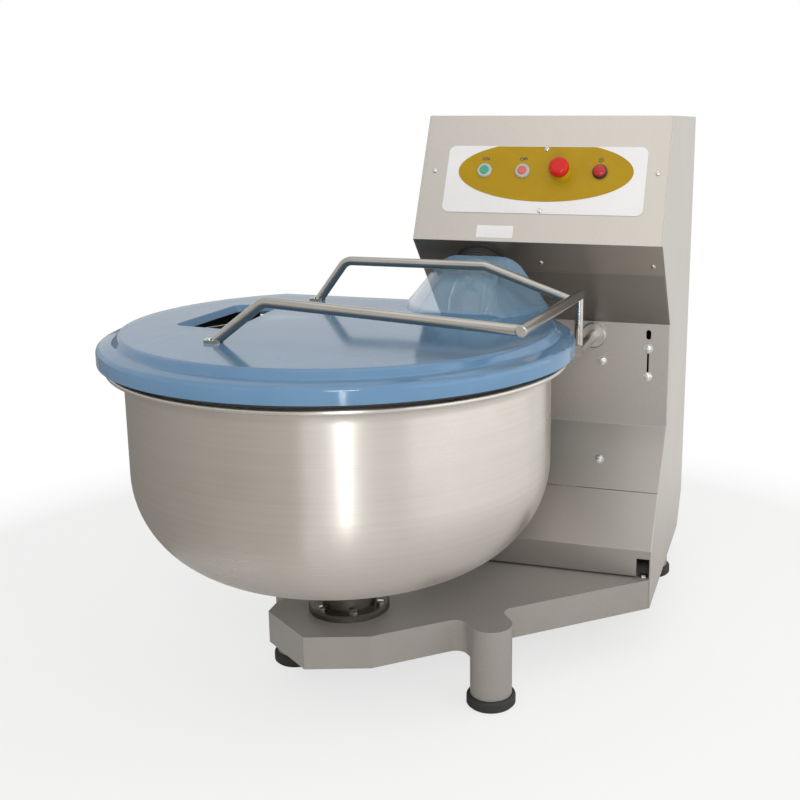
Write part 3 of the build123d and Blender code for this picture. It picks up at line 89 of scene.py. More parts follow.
# Grain is a noise drawn out along the way the surface was worked; mottle is slow change from handling;
# edgeMm rounds the light over a fold or a cut edge; thinning makes a sheet clearer and paler as it rises
def makeFinish(name, base, shade, grainMm, mottleMm, roughness, spread, bumpMm, metallic=0.0, edgeMm=0.0,
               sockets=None, thinning=None):
    material, tree = newTree(name)
    place = addNode(tree, "ShaderNodeTexCoord").outputs["Object"]
    stretch = addNode(tree, "ShaderNodeMapping", {
        "Vector": place, "Scale": [1 / (size * mm) for size in grainMm]})
    grain = addNode(tree, "ShaderNodeTexNoise", {"Vector": stretch.outputs[0], "Scale": 1.0, "Detail": 3.0})
    mottle = addNode(tree, "ShaderNodeTexNoise", {
        "Vector": place, "Scale": 1 / (mottleMm * mm), "Detail": 2.0})
    both = addNode(tree, "ShaderNodeMath", {0: grain.outputs[0], 1: mottle.outputs[0]}, operation="MULTIPLY")
    share = addNode(tree, "ShaderNodeMapRange", {"Value": both.outputs[0], **grainSpan})
    colour = addNode(tree, "ShaderNodeMix", {0: share.outputs[0], 6: toLinear(base), 7: toLinear(shade)},
                     data_type="RGBA")
    gloss = addNode(tree, "ShaderNodeMapRange", {
        "Value": both.outputs[0], **grainSpan, "To Min": roughness - spread, "To Max": roughness + spread})
    bump = addNode(tree, "ShaderNodeBump", {
        "Height": grain.outputs[0], "Distance": bumpMm * mm, "Strength": 1.0})
    if edgeMm:
        soft = addNode(tree, "ShaderNodeBevel", {"Radius": edgeMm * mm}, samples=4)
        tree.links.new(soft.outputs[0], bump.inputs["Normal"])
    shader = addNode(tree, "ShaderNodeBsdfPrincipled", {
        "Base Color": colour.outputs[2], "Roughness": gloss.outputs[0], "Normal": bump.outputs[0],
        "Metallic": metallic, **(sockets or {})})
    if thinning:
        height = addNode(tree, "ShaderNodeSeparateXYZ", {0: place})
        rise = addNode(tree, "ShaderNodeMapRange", {
            "Value": height.outputs[2], "From Min": thinning["from"] * mm, "From Max": thinning["to"] * mm})
        cover = addNode(tree, "ShaderNodeMapRange", {
            "Value": rise.outputs[0], "To Min": thinning["solid"], "To Max": thinning["thin"]})
        paler = addNode(tree, "ShaderNodeMix", {
            0: rise.outputs[0], 6: colour.outputs[2], 7: toLinear(thinning["pale"])}, data_type="RGBA")
        tree.links.new(paler.outputs[2], shader.inputs["Base Color"])
        tree.links.new(cover.outputs[0], shader.inputs["Alpha"])
    addNode(tree, "ShaderNodeOutputMaterial", {"Surface": shader.outputs[0]})
    return material


# Brushed stainless sheet: upright brush lines soften every reflection to a plain sheen
brushedSheet = makeFinish("brushedStainlessSheet", "B8B3AB", "B3AEA6", grainMm=(2.5, 2.5, 300),
                          mottleMm=260, roughness=0.4, spread=0.02, bumpMm=0.0006, metallic=1.0, edgeMm=1.8)
# Recess stainless: duller than the brushed outside, and greyer and darker as painted shade in the recess
shadedRecessSheet = makeFinish("millFinishStainless", "A6A29C", "9E9A94", grainMm=(3, 3, 3), mottleMm=300,
                       roughness=0.43, spread=0.03, bumpMm=0.0006, metallic=1.0, edgeMm=1.8)
# Grey epoxy paint on folded plate: faint orange peel, low sheen
greyPaint = makeFinish("greyEpoxyPaint", "9A958F", "928D87", grainMm=(3, 3, 3), mottleMm=260,
                       roughness=0.46, spread=0.05, bumpMm=0.02)
# Polished stainless tube: clear reflections with a trace of the belt's long lines
polishedTube = makeFinish("polishedStainlessTube", "A9A6A0", "9A9791", grainMm=(60, 4, 4), mottleMm=120,
                          roughness=0.17, spread=0.04, bumpMm=0.001, metallic=1.0)
# Turned steel: fine tool lines, broad satin highlight
turnedSteel = makeFinish("turnedSteel", "B4B2AE", "96938E", grainMm=(2, 2, 2), mottleMm=60, roughness=0.34,
                         spread=0.08, bumpMm=0.01, metallic=1.0)
# Hub steel under the bowl: its dark colour is painted shade, dull highlight
oiledSteel = makeFinish("oiledSteel", "726E69", "5C5853", grainMm=(3, 3, 3), mottleMm=50, roughness=0.42,
                        spread=0.08, bumpMm=0.01, metallic=1.0)
# Bright zinc plating: slightly cloudy silver
zincPlate = makeFinish("brightZincPlate", "CFCFCB", "B3B2AC", grainMm=(1.5, 1.5, 1.5), mottleMm=20,
                       roughness=0.27, spread=0.08, bumpMm=0.005, metallic=1.0)
# Dark enamel on pressed brackets: thin coat, gentle gloss
bracketEnamel = makeFinish("darkBracketEnamel", "4B4D50", "3F4144", grainMm=(3, 3, 3), mottleMm=90,
                           roughness=0.42, spread=0.06, bumpMm=0.03)
# Painted sand casting: the sand's pits show through the coat
castPaint = makeFinish("paintedSandCasting", "B4BAB8", "A6ACAA", grainMm=(2.5, 2.5, 2.5), mottleMm=70,
                       roughness=0.55, spread=0.08, bumpMm=0.18)
# Turned aluminium: pale, soft sheen
turnedAluminium = makeFinish("turnedAluminium", "D3D3D1", "BDBDBA", grainMm=(2, 2, 2), mottleMm=50,
                             roughness=0.33, spread=0.06, bumpMm=0.006, metallic=1.0)
# Cut bronze: warm, lightly oiled
cutBronze = makeFinish("cutBronze", "B08D57", "96743F", grainMm=(2, 2, 2), mottleMm=40, roughness=0.3,
                       spread=0.07, bumpMm=0.008, metallic=1.0)
# Blue moulded plastic: deep gloss; drawn thin over the hood, so the arm's nose shows through there
bluePlastic = makeFinish("mouldedBluePlastic", "6F97B9", "678FB2", grainMm=(60, 60, 60), mottleMm=180,
                         roughness=0.1, spread=0.02, bumpMm=0.004, sockets={"IOR": 1.5},
                         thinning={"from": 704, "to": 714, "solid": 0.78, "thin": 0.45, "pale": "86A9C2"})
# Screen-printed white plate: even, eggshell gloss
whitePlate = makeFinish("screenPrintedWhite", "EDEBE9", "E5E3E1", grainMm=(3, 3, 3), mottleMm=120,
                        roughness=0.35, spread=0.05, bumpMm=0.004)
# Gold printing ink: a fine speckle in a satin film
goldInk = makeFinish("goldPrintInk", "B4900A", "A68406", grainMm=(1.5, 1.5, 1.5), mottleMm=60,
                     roughness=0.38, spread=0.06, bumpMm=0.003, sockets={"Specular IOR Level": 0.25})
# Grey button bezels: satin moulded plastic
greyBezel = makeFinish("satinGreyPlastic", "B9BCB8", "ABAEAA", grainMm=(2, 2, 2), mottleMm=25,
                       roughness=0.36, spread=0.05, bumpMm=0.01)
# Button caps: coloured acrylic with a smooth face
greenCap = makeFinish("greenAcrylicCap", "3FA584", "35987A", grainMm=(6, 6, 6), mottleMm=25, roughness=0.24,
                      spread=0.04, bumpMm=0.006)
pinkCap = makeFinish("pinkAcrylicCap", "D5685F", "CB5E56", grainMm=(6, 6, 6), mottleMm=25, roughness=0.24,
                     spread=0.04, bumpMm=0.006)
# Emergency stop: glossy moulded caps
redCap = makeFinish("redMouldedCap", "CE1A0C", "BF160A", grainMm=(8, 8, 8), mottleMm=30, roughness=0.22,
                    spread=0.04, bumpMm=0.006, sockets={"Specular IOR Level": 0.3})
yellowCollar = makeFinish("yellowMouldedCollar", "BFA218", "AF9310", grainMm=(3, 3, 3), mottleMm=25,
                          roughness=0.34, spread=0.05, bumpMm=0.008)
# Lamp lens: red see-through plastic over a pale inside
redLens = makeFinish("redLampLens", "C41219", "B20D14", grainMm=(3, 3, 3), mottleMm=20, roughness=0.16,
                     spread=0.04, bumpMm=0.02, sockets={"Transmission Weight": 0.15, "IOR": 1.49})
# Black trim: grained plastic
blackTrim = makeFinish("grainedBlackPlastic", "24262A", "1B1C1F", grainMm=(1.2, 1.2, 1.2), mottleMm=30,
                       roughness=0.5, spread=0.06, bumpMm=0.02)
# Grey electrical box: matt polyester moulding
greyBox = makeFinish("greyPolyesterBox", "A9ADB0", "9CA0A3", grainMm=(1.5, 1.5, 1.5), mottleMm=60,
                     roughness=0.55, spread=0.06, bumpMm=0.03)
# Rubber: dull black with dust in its grain
blackRubber = makeFinish("blackRubber", "262524", "343230", grainMm=(1.5, 1.5, 1.5), mottleMm=40,
                         roughness=0.74, spread=0.08, bumpMm=0.05)
print("plain finishes made")


# Spun stainless: rings from the spinning tool run round the bowl and draw highlights into an upright streak;
# the inside is rougher, dulled by dough and washing, and its darker colour is painted shade; both are told in
# the bowl's own axes as it turns
spunBowl = {"axis": (-0.057, -0.220), "crownZ": 0.6, "ringMm": 7.0, "radiusShare": 0.1, "markScale": 7.0,
            "base": "CDC8C1", "shade": "C2BCB4", "roughness": 0.3, "smoother": 0.04, "rougher": 0.06,
            "bumpMm": 0.006, "stretch": 0.85, "stretchTurn": 0.25, "inside": "7A736A", "dulling": 0.18}


def makeSpunSteel(name, settings):
    material, tree = newTree(name)
    ownSpace = addNode(tree, "ShaderNodeTexCoord").outputs
    place = ownSpace["Object"]
    centred = addNode(tree, "ShaderNodeMapping", {
        "Vector": place, "Location": (-settings["axis"][0], -settings["axis"][1], 0)})
    flat = addNode(tree, "ShaderNodeVectorMath", {0: centred.outputs[0], 1: (1, 1, 0)}, operation="MULTIPLY")
    radius = addNode(tree, "ShaderNodeVectorMath", {0: flat.outputs[0]}, operation="LENGTH")
    height = addNode(tree, "ShaderNodeSeparateXYZ", {0: centred.outputs[0]})
    nearRadius = addNode(tree, "ShaderNodeMath", {0: radius.outputs["Value"], 1: settings["radiusShare"]},
                         operation="MULTIPLY")
    ringPlace = addNode(tree, "ShaderNodeCombineXYZ", {0: nearRadius.outputs[0], 1: height.outputs[2]})
    rings = addNode(tree, "ShaderNodeTexNoise", {
        "Vector": ringPlace.outputs[0], "Scale": 1 / (settings["ringMm"] * mm), "Detail": 4.0,
        "Roughness": 0.7})
    marks = addNode(tree, "ShaderNodeTexNoise", {
        "Vector": place, "Scale": settings["markScale"], "Detail": 3.0})
    both = addNode(tree, "ShaderNodeMath", {0: rings.outputs[0], 1: marks.outputs[0]}, operation="MULTIPLY")
    share = addNode(tree, "ShaderNodeMapRange", {"Value": both.outputs[0], **grainSpan})
    colour = addNode(tree, "ShaderNodeMix", {
        0: share.outputs[0], 6: toLinear(settings["base"]), 7: toLinear(settings["shade"])}, data_type="RGBA")
    gloss = addNode(tree, "ShaderNodeMapRange", {
        "Value": both.outputs[0], **grainSpan, "To Min": settings["roughness"] - settings["smoother"],
        "To Max": settings["roughness"] + settings["rougher"]})
    fromAxis = addNode(tree, "ShaderNodeVectorMath", {0: centred.outputs[0], 1: (0, 0, settings["crownZ"])},
                       operation="SUBTRACT")
    faces = addNode(tree, "ShaderNodeVectorMath", {0: fromAxis.outputs[0], 1: ownSpace["Normal"]},
                    operation="DOT_PRODUCT")
    # Faces turned toward the bowl's axis get a darker colour as painted shade, and a rougher surface
    inside = addNode(tree, "ShaderNodeMath", {0: faces.outputs["Value"], 1: 0.0}, operation="LESS_THAN")
    paintedInsideShade = addNode(tree, "ShaderNodeMix", {
        0: inside.outputs[0], 6: colour.outputs[2], 7: toLinear(settings["inside"])}, data_type="RGBA")
    dull = addNode(tree, "ShaderNodeMath", {
        0: inside.outputs[0], 1: settings["dulling"], 2: gloss.outputs[0]}, operation="MULTIPLY_ADD")
    bump = addNode(tree, "ShaderNodeBump", {
        "Height": rings.outputs[0], "Distance": settings["bumpMm"] * mm, "Strength": 1.0})
    around = addNode(tree, "ShaderNodeTangent", direction_type="RADIAL", axis="Z")
    shader = addNode(tree, "ShaderNodeBsdfPrincipled", {
        "Base Color": paintedInsideShade.outputs[2], "Roughness": dull.outputs[0], "Normal": bump.outputs[0],
        "Tangent": around.outputs[0], "Metallic": 1.0, "Anisotropic": settings["stretch"],
        "Anisotropic Rotation": settings["stretchTurn"]})
    addNode(tree, "ShaderNodeOutputMaterial", {"Surface": shader.outputs[0]})
    return material


spunSteel = makeSpunSteel("spunStainless", spunBowl)

nodeFinish = [
    (brushedSheet, ["left_side_panel", "right_side_panel", "console_fascia", "rear_cover"]),
    (shadedRecessSheet, ["recess_panel", "kick_panel"]),
    (greyPaint, ["base_frame", "right_front_leg", "left_front_leg", "rear_legs"]),
    (spunSteel, ["bowl"]),
    (polishedTube, ["near_lid_tube", "far_lid_tube", "hinge_tube", "hinge_post", "pivot_shaft",
                    "kneading_fork"]),
    (oiledSteel, ["bowl_hub", "bearing_housing"]),
    (turnedSteel, ["bowl_spindle", "fork_shaft", "worm_shaft", "motor_shaft", "spindle_bearings",
                   "fork_bearings", "worm_bearings", "spindle_nut", "pivot_flange"]),
    (zincPlate, ["panel_screws", "wall_bolts", "hub_bolts", "clamp_bolt", "lid_screws"]),
    (bracketEnamel, ["gearbox_stand", "motor_mount", "pivot_bracket", "fan_cover"]),
    (castPaint, ["gearbox_casing", "gearbox_cover", "motor_housing"]),
    (turnedAluminium, ["driven_pulley", "motor_pulley"]),
    (cutBronze, ["worm_wheel"]),
    (bluePlastic, ["lid_shell"]),
    (whitePlate, ["control_plate"]),
    (goldInk, ["oval_field"]),
    (greyBezel, ["button_bezels"]),
    (greenCap, ["start_button"]),
    (pinkCap, ["stop_button"]),
    (yellowCollar, ["estop_collar"]),
    (redCap, ["estop_button"]),
    (redLens, ["lamp_lens"]),
    (blackTrim, ["lamp_bezel", "contact_blocks", "limit_switch", "cable_gland"]),
    (greyBox, ["electrical_box"]),
    (blackRubber, ["rubber_feet", "shaft_seal", "drive_belts"]),
]
dressed = set()
for finish, names in nodeFinish:
    for name in names:
        nodes[name].data.materials.clear()
        nodes[name].data.materials.append(finish)
        dressed.add(name)
print("dressed", len(dressed), "nodes, left over:", sorted(set(nodes) - dressed))


# Edges sharper than this stay crisp
creaseAngle = math.radians(35)


def finishPiece(name, mesh, material, body):
    mesh.materials.clear()
    mesh.materials.append(material)
    mesh.shade_smooth()
    mesh.set_sharp_from_angle(angle=creaseAngle)
    piece = addObject(name, mesh)
    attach(piece, body)
    return piece


# The console's slope: across in X, up the slope, out of its face
console = {"noseY": 76.29, "noseZ": 827.32, "tilt": math.radians(25.7), "fieldOut": 2.0}


def onConsole(x, up, out):
    s, c = math.sin(console["tilt"]), math.cos(console["tilt"])
    place = Vector((x, console["noseY"] + up * s - out * c, console["noseZ"] + up * c + out * s)) * mm
    turn = Matrix(((1, 0, 0), (0, s, -c), (0, c, s))).to_4x4()
    return Matrix.Translation(place) @ turn


# Points nearer than this are one point
weldGap = 0.01 * mm


# A profile of (radius, height) points turned about its own upright axis
def turnProfile(name, profile, steps):
    shape = bmesh.new()
    points = [shape.verts.new((radius * mm, 0, height * mm)) for radius, height in profile]
    for low, high in zip(points, points[1:]):
        shape.edges.new((low, high))
    bmesh.ops.spin(shape, geom=shape.verts[:] + shape.edges[:], cent=(0, 0, 0), axis=(0, 0, 1),
                   angle=2 * math.pi, steps=steps)
    bmesh.ops.remove_doubles(shape, verts=shape.verts[:], dist=weldGap)
    bmesh.ops.recalc_face_normals(shape, faces=shape.faces[:])
    return toMesh(shape, name)


def evaluated(holder):
    graph = bpy.context.evaluated_depsgraph_get()
    made = bpy.data.meshes.new_from_object(holder.evaluated_get(graph))
    bpy.data.objects.remove(holder)
    return made


def cutMesh(mesh, toolMesh, operation):
    holder = addObject("blank", mesh)
    tool = addObject("tool", toolMesh)
    cut = holder.modifiers.new("cut", "BOOLEAN")
    cut.operation = operation
    cut.object = tool
    made = evaluated(holder)
    bpy.data.objects.remove(tool)
    shape = bmesh.new()
    shape.from_mesh(made)
    bmesh.ops.remove_doubles(shape, verts=shape.verts[:], dist=weldGap)
    bmesh.ops.dissolve_degenerate(shape, edges=shape.edges[:], dist=weldGap)
    shape.to_mesh(made)
    shape.free()
    return made


def joinMeshes(name, meshes):
    shape = bmesh.new()
    for mesh in meshes:
        shape.from_mesh(mesh)
    return toMesh(shape, name)


def openTree(name, inputs, output):
    tree = bpy.data.node_groups.new(name, "GeometryNodeTree")
    for label, kind in inputs:
        tree.interface.new_socket(name=label, in_out="INPUT", socket_type="NodeSocket" + kind)
    tree.interface.new_socket(name=output, in_out="OUTPUT", socket_type="NodeSocketGeometry")
    return tree, addNode(tree, "NodeGroupInput").outputs


def runTree(tree, mesh, values):
    holder = addObject(tree.name, mesh)
    modifier = holder.modifiers.new(tree.name, "NODES")
    modifier.node_group = tree
    sockets = [item for item in tree.interface.items_tree if item.in_out == "INPUT"]
    identifiers = {socket.name: socket.identifier for socket in sockets}
    for label, value in values.items():
        modifier[identifiers[label]] = value
    return evaluated(holder)


# One shape stood on every point, along the point's facing, each with a chance turn about its own axis
seatInputs = [("Points", "Geometry"), ("Shape", "Object"), ("Size", "Float"), ("Turn", "Float"),
              ("Seed", "Int"), ("Finish", "Material")]
seatTree, seat = openTree("seatPieces", seatInputs, "Pieces")
facing = addNode(seatTree, "GeometryNodeInputNamedAttribute", {"Name": "facing"}, data_type="FLOAT_VECTOR")
upright = addNode(seatTree, "FunctionNodeAlignRotationToVector", {"Vector": facing.outputs["Attribute"]},
                  axis="Z")
chance = addNode(seatTree, "FunctionNodeRandomValue", {2: 0.0, 3: seat["Turn"], 8: seat["Seed"]},
                 data_type="FLOAT")
spin = addNode(seatTree, "FunctionNodeAxisAngleToRotation", {"Axis": (0, 0, 1), "Angle": chance.outputs[1]})
turned = addNode(seatTree, "FunctionNodeRotateRotation", {0: upright.outputs[0], 1: spin.outputs[0]},
                 rotation_space="LOCAL")
pattern = addNode(seatTree, "GeometryNodeObjectInfo", {"Object": seat["Shape"]})
stood = addNode(seatTree, "GeometryNodeInstanceOnPoints", {
    "Points": seat["Points"], "Instance": pattern.outputs["Geometry"], "Rotation": turned.outputs[0],
    "Scale": seat["Size"]})
seatWhole = addNode(seatTree, "GeometryNodeRealizeInstances", {0: stood.outputs[0]})
seatDressed = addNode(seatTree, "GeometryNodeSetMaterial", {
    0: seatWhole.outputs[0], "Material": seat["Finish"]})
addNode(seatTree, "NodeGroupOutput", {0: seatDressed.outputs[0]})


def seatShapes(name, shapeMesh, places, finish, turn, seed):
    points = bpy.data.meshes.new(name + "Points")
    points.from_pydata([place for place, way in places], [], [])
    ways = points.attributes.new("facing", "FLOAT_VECTOR", "POINT")
    for item, (place, way) in zip(ways.data, places):
        item.vector = way
    shape = addObject(name + "Shape", shapeMesh)
    made = runTree(seatTree, points, {
        "Shape": shape, "Size": 1.0, "Turn": turn, "Seed": seed, "Finish": finish})
    bpy.data.objects.remove(shape)
    return made


# Where the frame's fasteners end: the widest flat of each that has the whole of it behind
headSearch = {"weld": 0.001, "flatDegrees": 1, "slack": 0.05}


def headTops(nodeName):
    shape = bmesh.new()
    shape.from_mesh(nodes[nodeName].data)
    bmesh.ops.remove_doubles(shape, verts=shape.verts[:], dist=headSearch["weld"] * mm)
    bmesh.ops.dissolve_limit(shape, angle_limit=math.radians(headSearch["flatDegrees"]), verts=shape.verts[:],
                             edges=shape.edges[:])
    tops, waiting = [], set(shape.faces)
    while waiting:
        island, border = set(), [waiting.pop()]
        while border:
            face = border.pop()
            island.add(face)
            near = {other for side in face.edges for other in side.link_faces} & waiting
            waiting -= near
            border += near
        corners = {corner for face in island for corner in face.verts}
        ends = [face for face in island if max(
            (corner.co - face.verts[0].co).dot(face.normal) for corner in corners) < headSearch["slack"] * mm]
        top = max(ends, key=lambda face: face.calc_area())
        tops.append((top.calc_center_median_weighted(), top.normal.copy()))
    shape.free()
    return sorted(tops, key=lambda place: tuple(round(value, 4) for value in place[0]))


# Pan-head screws with a cross recess, hexagon bolts with a turned chamfer and a washer
screwHead = {"radius": 5.0, "height": 3.0, "edge": 0.9, "shank": 2.4, "grip": 4.0, "crossLong": 5.2,
             "crossWide": 1.1, "crossDeep": 1.5}
boltHead = {"radius": 8.0, "height": 6.0, "chamfer": 1.1, "overTop": 0.01, "shank": 4.5, "grip": 8.0,
            "washer": 10.2, "washerThick": 1.4, "washerEdge": 0.4}


def boxMesh(name, sizes, middle):
    shape = bmesh.new()
    place = Matrix.Translation(Vector(middle) * mm) @ Matrix.Diagonal((*sizes, 1))
    bmesh.ops.create_cube(shape, size=mm, matrix=place)
    return toMesh(shape, name)


def panHead(settings):
    radius, height, edge = settings["radius"], settings["height"], settings["edge"]
    shank, grip = settings["shank"], settings["grip"]
    dome = [(radius * math.sin(math.radians(a)), edge + (height - edge) * math.cos(math.radians(a)))
            for a in range(0, 91, 15)]
    mesh = turnProfile("panHead", dome + [(radius, 0), (shank, 0), (shank, -grip), (0, -grip)], 32)
    crossLong, crossWide, crossTall = settings["crossLong"], settings["crossWide"], 2 * settings["crossDeep"]
    for sizes in ((crossLong, crossWide, crossTall), (crossWide, crossLong, crossTall)):
        mesh = cutMesh(mesh, boxMesh("crossBit", sizes, (0, 0, height)), "DIFFERENCE")
    return mesh


def hexHead(settings, washer):
    radius, chamfer, shank, grip = (settings[key] for key in ("radius", "chamfer", "shank", "grip"))
    low = settings["washerThick"] if washer else 0
    tall = settings["height"] - low
    shape = bmesh.new()
    bmesh.ops.create_cone(shape, cap_ends=True, segments=6, radius1=radius * mm, radius2=radius * mm,
                          depth=tall * mm, matrix=Matrix.Translation((0, 0, (low + tall / 2) * mm)))
    hexagon = toMesh(shape, "hexagon")
    high = low + tall
    over = high + settings["overTop"]
    across = radius * math.cos(math.radians(30))
    cap = [(0, -high), (2 * radius, -high), (2 * radius, high - chamfer / 2 - radius / 2),
           (across - chamfer / 2, over), (0, over)]
    meshes = [cutMesh(hexagon, turnProfile("turnedTop", cap, 48), "INTERSECT")]
    meshes.append(turnProfile("shank", [(0, low), (shank, low), (shank, -grip), (0, -grip)], 24))
    if washer:
        outer, edge = settings["washer"], settings["washerEdge"]
        ring = [(shank, low), (outer - edge, low), (outer, low - edge), (outer, 0), (shank, 0), (shank, low)]
        meshes.append(turnProfile("washer", ring, 40))
    return joinMeshes("hexHead", meshes)


fasteners = [
    {"name": "panelScrewHeads", "node": "panel_screws", "body": "frame", "head": "pan", "seed": 3},
    {"name": "lidScrewHeads", "node": "lid_screws", "body": "lid_unit", "head": "pan", "seed": 5},
    {"name": "wallBoltHeads", "node": "wall_bolts", "body": "frame", "head": "washered", "seed": 7},
    {"name": "hubBoltHeads", "node": "hub_bolts", "body": "frame", "head": "plain", "seed": 9},
]
heads = {
    "pan": (panHead(screwHead), screwHead["height"]),
    "washered": (hexHead(boltHead, True), boltHead["height"]),
    "plain": (hexHead(boltHead, False), boltHead["height"]),
}
for fastener in fasteners:
    headMesh, headHeight = heads[fastener["head"]]
    seats = [(top - way * headHeight * mm, way) for top, way in headTops(fastener["node"])]
    made = seatShapes(fastener["name"], headMesh, seats, zincPlate, 2 * math.pi, fastener["seed"])
    piece = finishPiece(fastener["name"], made, zincPlate, fastener["body"])
    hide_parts(fastener["node"])
    print("seated", len(seats), "on", fastener["node"])


# Pressed louvre lips, one over every slot of the rear cover
louvres = {"rows": 8, "columns": 2, "rowPitch": 22.0, "columnPitch": 195.0, "firstZ": 300.0, "long": 164.0,
           "above": 9.0, "below": 3.5, "stand": 6.5, "endTaper": 16.0, "sheet": 1.0}


def louvreLip(settings, along=24, down=8):
    shape = bmesh.new()
    half, taper = settings["long"] / 2, settings["endTaper"]
    rows = []
    for k in range(along + 1):
        x = half * math.sin(math.pi / 2 * (2 * k / along - 1))
        past = max(0.0, (abs(x) - (half - taper)) / taper)
        share = math.sqrt(max(0.0, 1 - past * past))
        row = []
        for m in range(down + 1):
            fall = m / down
            stand = settings["stand"] * share * math.sin(math.pi / 2 * fall) ** 2
            drop = settings["above"] - (settings["above"] + settings["below"]) * fall
            row.append(shape.verts.new((x * mm, -drop * mm, stand * mm)))
        rows.append(row)
    for left, right in zip(rows, rows[1:]):
        for m in range(down):
            shape.faces.new((left[m], right[m], right[m + 1], left[m + 1]))
    bmesh.ops.recalc_face_normals(shape, faces=shape.faces[:])
    bmesh.ops.solidify(shape, geom=shape.faces[:], thickness=settings["sheet"] * mm)
    return toMesh(shape, "louvreLip")


lipInputs = [("Start", "Geometry"), ("Lip", "Object"), ("Rows", "Int"), ("Columns", "Int"),
             ("Row Pitch", "Float"), ("Column Pitch", "Float"), ("Finish", "Material")]
lipTree, lip = openTree("pressLouvres", lipInputs, "Louvres")
gaps = {}
for label in ("Row", "Column"):
    less = addNode(lipTree, "ShaderNodeMath", {0: lip[label + "s"], 1: 1.0}, operation="SUBTRACT")
    gaps[label] = addNode(lipTree, "ShaderNodeMath", {0: less.outputs[0], 1: lip[label + " Pitch"]},
                          operation="MULTIPLY").outputs[0]
grid = addNode(lipTree, "GeometryNodeMeshGrid", {
    "Size X": gaps["Column"], "Size Y": gaps["Row"], "Vertices X": lip["Columns"], "Vertices Y": lip["Rows"]})
lipShape = addNode(lipTree, "GeometryNodeObjectInfo", {"Object": lip["Lip"]})
pressed = addNode(lipTree, "GeometryNodeInstanceOnPoints", {
    "Points": grid.outputs["Mesh"], "Instance": lipShape.outputs["Geometry"]})
lipWhole = addNode(lipTree, "GeometryNodeRealizeInstances", {0: pressed.outputs[0]})
lipDressed = addNode(lipTree, "GeometryNodeSetMaterial", {
    0: lipWhole.outputs[0], "Material": lip["Finish"]})
addNode(lipTree, "NodeGroupOutput", {0: lipDressed.outputs[0]})

lipObject = addObject("louvreLip", louvreLip(louvres))
louvreMesh = runTree(lipTree, bpy.data.meshes.new("louvreStart"), {
    "Lip": lipObject, "Rows": louvres["rows"], "Columns": louvres["columns"], "Finish": brushedSheet,
    "Row Pitch": louvres["rowPitch"] * mm, "Column Pitch": louvres["columnPitch"] * mm})
bpy.data.objects.remove(lipObject)
coverLow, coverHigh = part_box("rear_cover")
louvreMiddle = Vector(((coverLow[0] + coverHigh[0]) / 2, coverHigh[1],
                       (louvres["firstZ"] + (louvres["rows"] - 1) / 2 * louvres["rowPitch"]) * mm))
louvreMesh.transform(Matrix.Translation(louvreMiddle) @ Matrix.Rotation(math.radians(-90), 4, "X"))
finishPiece("louvreLips", louvreMesh, brushedSheet, "frame")
print("louvres pressed on the rear cover")


# Printed button marks, standing a hair above the plate
marks = {"height": 9.5, "bold": 0.28, "depth": 0.05, "up": 174.5, "words": [("ON", 107.0), ("OFF", 185.3)],
         "lampX": 341.9, "lampR": 5.2, "lampLine": 1.1}


def wordMesh(word, settings):
    curve = bpy.data.curves.new("mark" + word, "FONT")
    curve.body = word
    curve.size = settings["height"] * mm
    curve.offset = settings["bold"] * mm
    curve.extrude = settings["depth"] * mm
    curve.align_x = "CENTER"
    curve.align_y = "CENTER"
    curve.resolution_u = 4
    holder = bpy.data.objects.new("mark" + word, curve)
    mesh = bpy.data.meshes.new_from_object(holder)
    bpy.data.objects.remove(holder)
    return mesh


# Lamp sign: a ring with a cross in it
def lampSign(settings):
    outer, line, deep = settings["lampR"], settings["lampLine"], settings["depth"]
    inner = outer - line
    section = [(inner, -deep), (outer, -deep), (outer, deep), (inner, deep), (inner, -deep)]
    ring = turnProfile("lampRing", section, 48)
    bars = []
    for angle in (45, 135):
        bar = boxMesh("lampBar", (2 * inner, line, 2 * deep), (0, 0, 0))
        bar.transform(Matrix.Rotation(math.radians(angle), 4, "Z"))
        bars.append(bar)
    return joinMeshes("lampSign", [ring, cutMesh(bars[0], bars[1], "UNION")])


# Print ink: flat black with a little sheen
printInk = makeFinish("blackPrintInk", "2A2A2C", "353537", grainMm=(1, 1, 1), mottleMm=20, roughness=0.5,
                      spread=0.05, bumpMm=0.002)
markMeshes = [(wordMesh(word, marks), x) for word, x in marks["words"]]
markMeshes.append((lampSign(marks), marks["lampX"]))
for mesh, x in markMeshes:
    mesh.transform(onConsole(x, marks["up"], console["fieldOut"] + marks["depth"]))
markMesh = joinMeshes("buttonMarks", [mesh for mesh, x in markMeshes])
finishPiece("buttonMarks", markMesh, printInk, "frame")
print("button marks printed")


# Blank sticker under the plate, its corners rounded
sticker = {"wide": 75.0, "high": 25.5, "corner": 2.0, "thick": 0.2, "x": 142.7, "up": 20.7}


def stickerMesh(settings, steps=6):
    shape = bmesh.new()
    halfX, halfY, corner = settings["wide"] / 2, settings["high"] / 2, settings["corner"]
    outline = []
    for k, (sideX, sideY) in enumerate(((1, 1), (-1, 1), (-1, -1), (1, -1))):
        for step in range(steps + 1):
            angle = math.pi / 2 * (k + step / steps)
            outline.append(((sideX * (halfX - corner) + corner * math.cos(angle)) * mm,
                            (sideY * (halfY - corner) + corner * math.sin(angle)) * mm, 0))
    face = shape.faces.new([shape.verts.new(point) for point in outline])
    raised = bmesh.ops.extrude_face_region(shape, geom=[face])["geom"]
    top = [item for item in raised if isinstance(item, bmesh.types.BMVert)]
    bmesh.ops.translate(shape, verts=top, vec=(0, 0, settings["thick"] * mm))
    bmesh.ops.recalc_face_normals(shape, faces=shape.faces[:])
    return toMesh(shape, "blankSticker")


# Vinyl film: white, slightly creased where it was smoothed down
whiteVinyl = makeFinish("whiteVinylFilm", "F1EFEC", "E6E3DF", grainMm=(12, 5, 5), mottleMm=40,
                        roughness=0.3, spread=0.05, bumpMm=0.02)
labelMesh = stickerMesh(sticker)
labelMesh.transform(onConsole(sticker["x"], sticker["up"], 0))
finishPiece("blankSticker", labelMesh, whiteVinyl, "frame")


